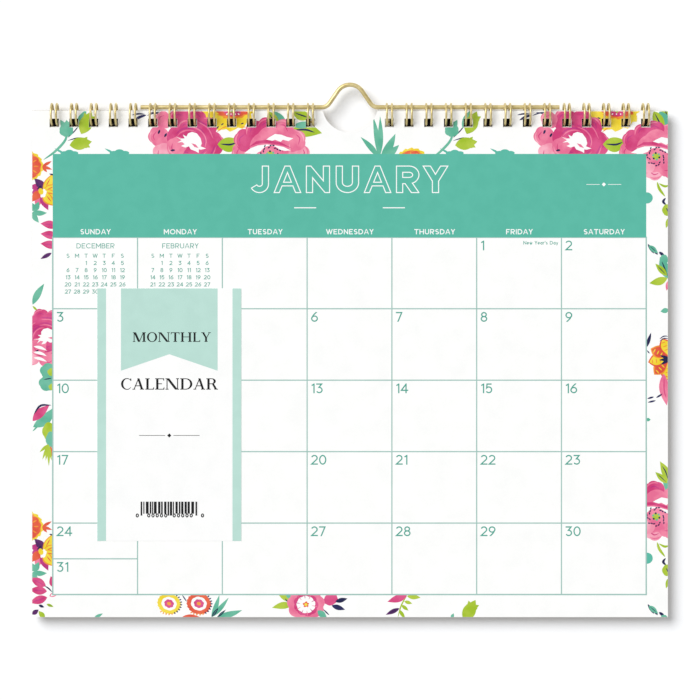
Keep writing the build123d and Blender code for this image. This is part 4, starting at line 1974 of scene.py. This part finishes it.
@dataclass(frozen=True)
class Studio:
    """A pale wall and floor, soft light from the upper left, and the camera. Metres and degrees."""

    wall_gap: float = 0.00035
    wall_half: float = 2.0
    floor_drop: float = 0.6
    key_way: tuple[float, float, float] = (0.56, 0.84, -0.51)
    key_strength: float = 2.69
    key_spread: float = 38.0
    back_way: tuple[float, float, float] = (-0.3, -0.8, -0.5)
    back_strength: float = 1.0
    sky_light: float = 0.42
    wall_colour: Colour = (0.958, 0.966, 0.982)
    wall_glow: float = 0.02
    mottle_size: float = 0.05
    # The hole shades' near-black colour is painted shade, for the dark seen through the punched holes.
    shade_colour: Colour = (0.008, 0.008, 0.009)
    shade_top: float = 0.0008
    shade_foot: float = 0.0095
    shade_gap: float = 0.0165
    shade_inset: float = 0.0005
    shade_clearance: float = 0.00005
    sky_shown: float = 1.0
    lens: float = 131.6
    distance: float = 1.1
    aim_drop: float = 0.1025

    def plane(
        self, name: str, corners: Sequence[Vector], material: bpy.types.Material
    ) -> bpy.types.Object:
        """Makes a flat stage piece.

        Args:
            name: its name.
            corners: its corners in order, seen from its front.
            material: its finish.

        Returns:
            The new mesh object.
        """
        mesh = bpy.data.meshes.new(name)
        mesh.from_pydata([tuple(c) for c in corners], [], [tuple(range(len(corners)))])
        mesh.materials.append(material)
        piece = bpy.data.objects.new(name, mesh)
        bpy.context.scene.collection.objects.link(piece)
        return piece

    def one_sided(self, name: str, colour: Colour, glow: float) -> bpy.types.Material:
        """A matt paint that shows only on a plane's front, so that it can be looked through from behind.

        Args:
            name: the material's name.
            colour: its darker colour.
            glow: how strongly it shines of itself.

        Returns:
            The material.
        """
        graph = ShaderGraph(name)
        mottle = graph.noise(self.mottle_size, 2.0)
        paler = tuple(c * 1.01 for c in colour)
        graph.surface(
            Base_Color=graph.blend(mottle, colour, paler, 0.3, 0.7),
            Roughness=0.9,
            Specular_IOR_Level=0.0,
            Emission_Color=(1.0, 1.0, 1.0, 1.0),
            Emission_Strength=glow,
        )
        behind = graph.add("ShaderNodeNewGeometry", output="Backfacing")
        clear = graph.add("ShaderNodeBsdfTransparent")
        shader = Signal(graph, graph.shader.outputs[0])
        mixed = graph.add("ShaderNodeMixShader", inputs={0: behind, 1: shader, 2: clear})
        graph.feed(graph.tree.nodes["Material Output"].inputs["Surface"], mixed)
        return graph.material

    def build_stage(self) -> None:
        """Makes the wall and the floor."""
        low, high = cad_box
        back = high.y + self.wall_gap
        half = self.wall_half
        ground = low.z - self.floor_drop
        paint = self.one_sided("wall_paint", self.wall_colour, self.wall_glow)
        wall = [
            Vector((-half, back, ground)), Vector((half, back, ground)),
            Vector((half, back, half)), Vector((-half, back, half)),
        ]
        wall_piece = self.plane("studio_wall", wall, paint)
        wall_piece.visible_shadow = False
        wall_piece.visible_diffuse = False
        self.build_hole_shades()
        floor = [
            Vector((-half, -half, ground)), Vector((half, -half, ground)),
            Vector((half, half, ground)), Vector((-half, half, ground)),
        ]
        self.plane("studio_floor", floor, paint).visible_diffuse = False

    def build_hole_shades(self) -> None:
        """Makes the dark strips of painted shade close behind the board's punched holes, left and right of
        the moon, standing in for the shade inside the holes.

        They turn with the board, and show only from its front, through the holes.
        """
        low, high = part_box("backing_board")
        back = high.y + self.shade_clearance
        top = high.z - self.shade_top
        foot = high.z - self.shade_foot
        # Near-black one-sided paint: painted shade for the inside of the punched holes.
        dark = self.one_sided("hole_shade_paint", self.shade_colour, 0.0)
        spans = {
            "left_hole_shade": (low.x + self.shade_inset, -self.shade_gap - self.shade_inset),
            "right_hole_shade": (self.shade_gap + self.shade_inset, high.x - self.shade_inset),
        }
        for name, (left, right) in spans.items():
            corners = [
                Vector((left, back, foot)), Vector((right, back, foot)),
                Vector((right, back, top)), Vector((left, back, top)),
            ]
            strip = self.plane(name, corners, dark)
            strip.visible_shadow = False
            strip.visible_diffuse = False
            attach(strip, "calendar")

    def sun(self, name: str, way: Sequence[float], strength: float) -> None:
        """Makes a broad, distant lamp.

        Args:
            name: the lamp's name.
            way: the direction that it shines in.
            strength: how bright it is.
        """
        lamp = bpy.data.lights.new(name, "SUN")
        lamp.energy = strength
        lamp.angle = radians(self.key_spread)
        piece = bpy.data.objects.new(name, lamp)
        piece.rotation_euler = Vector(way).to_track_quat("-Z", "Y").to_euler()
        bpy.context.scene.collection.objects.link(piece)

    def build_light(self) -> None:
        """Makes the lamps and the even light from all round."""
        self.sun("key_light", self.key_way, self.key_strength)
        self.sun("back_light", self.back_way, self.back_strength)
        world = bpy.data.worlds.new("studio_light")
        world.use_nodes = True
        nodes = world.node_tree.nodes
        path = nodes.new("ShaderNodeLightPath")
        level = nodes.new("ShaderNodeMapRange")
        level.inputs["To Min"].default_value = self.sky_light
        level.inputs["To Max"].default_value = self.sky_shown
        world.node_tree.links.new(path.outputs["Is Camera Ray"], level.inputs["Value"])
        world.node_tree.links.new(level.outputs["Result"], nodes["Background"].inputs["Strength"])
        nodes["Background"].inputs["Color"].default_value = (1.0, 1.0, 1.0, 1.0)
        bpy.context.scene.world = world

    def build_camera(self) -> None:
        """Makes the camera, level with the page and square to it."""
        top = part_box("january_sheet")[1].z
        camera = bpy.data.cameras.new("camera")
        camera.lens = self.lens
        piece = bpy.data.objects.new("camera", camera)
        piece.location = (0.0, -self.distance, top - self.aim_drop)
        piece.rotation_euler = (pi / 2, 0.0, 0.0)
        bpy.context.scene.collection.objects.link(piece)
        bpy.context.scene.camera = piece
        bpy.context.scene.view_settings.view_transform = "Standard"

    def build(self) -> None:
        """Makes the whole studio."""
        self.build_stage()
        self.build_light()
        self.build_camera()


def main() -> None:
    """Builds the calendar's pieces and the studio round it."""
    logging.basicConfig(level=logging.INFO, format="%(name)s: %(message)s")
    punching = Punching()
    printer = FilmPrinter()
    january = MonthPage(JANUARY, (DECEMBER, 0, 0), (FEBRUARY, 1, 0), ((1, "New Year's Day"),))
    february = MonthPage(FEBRUARY, (JANUARY, 5, 4), (MARCH, 6, 4))
    front_leaf = FrontLeaf(punching, printer)
    front_leaf.build(january)
    front_leaf.dress()
    FollowingLeaves(punching, printer).build(february)
    Hardware().dress()
    Studio().build()


if __name__ == "__main__":
    main()
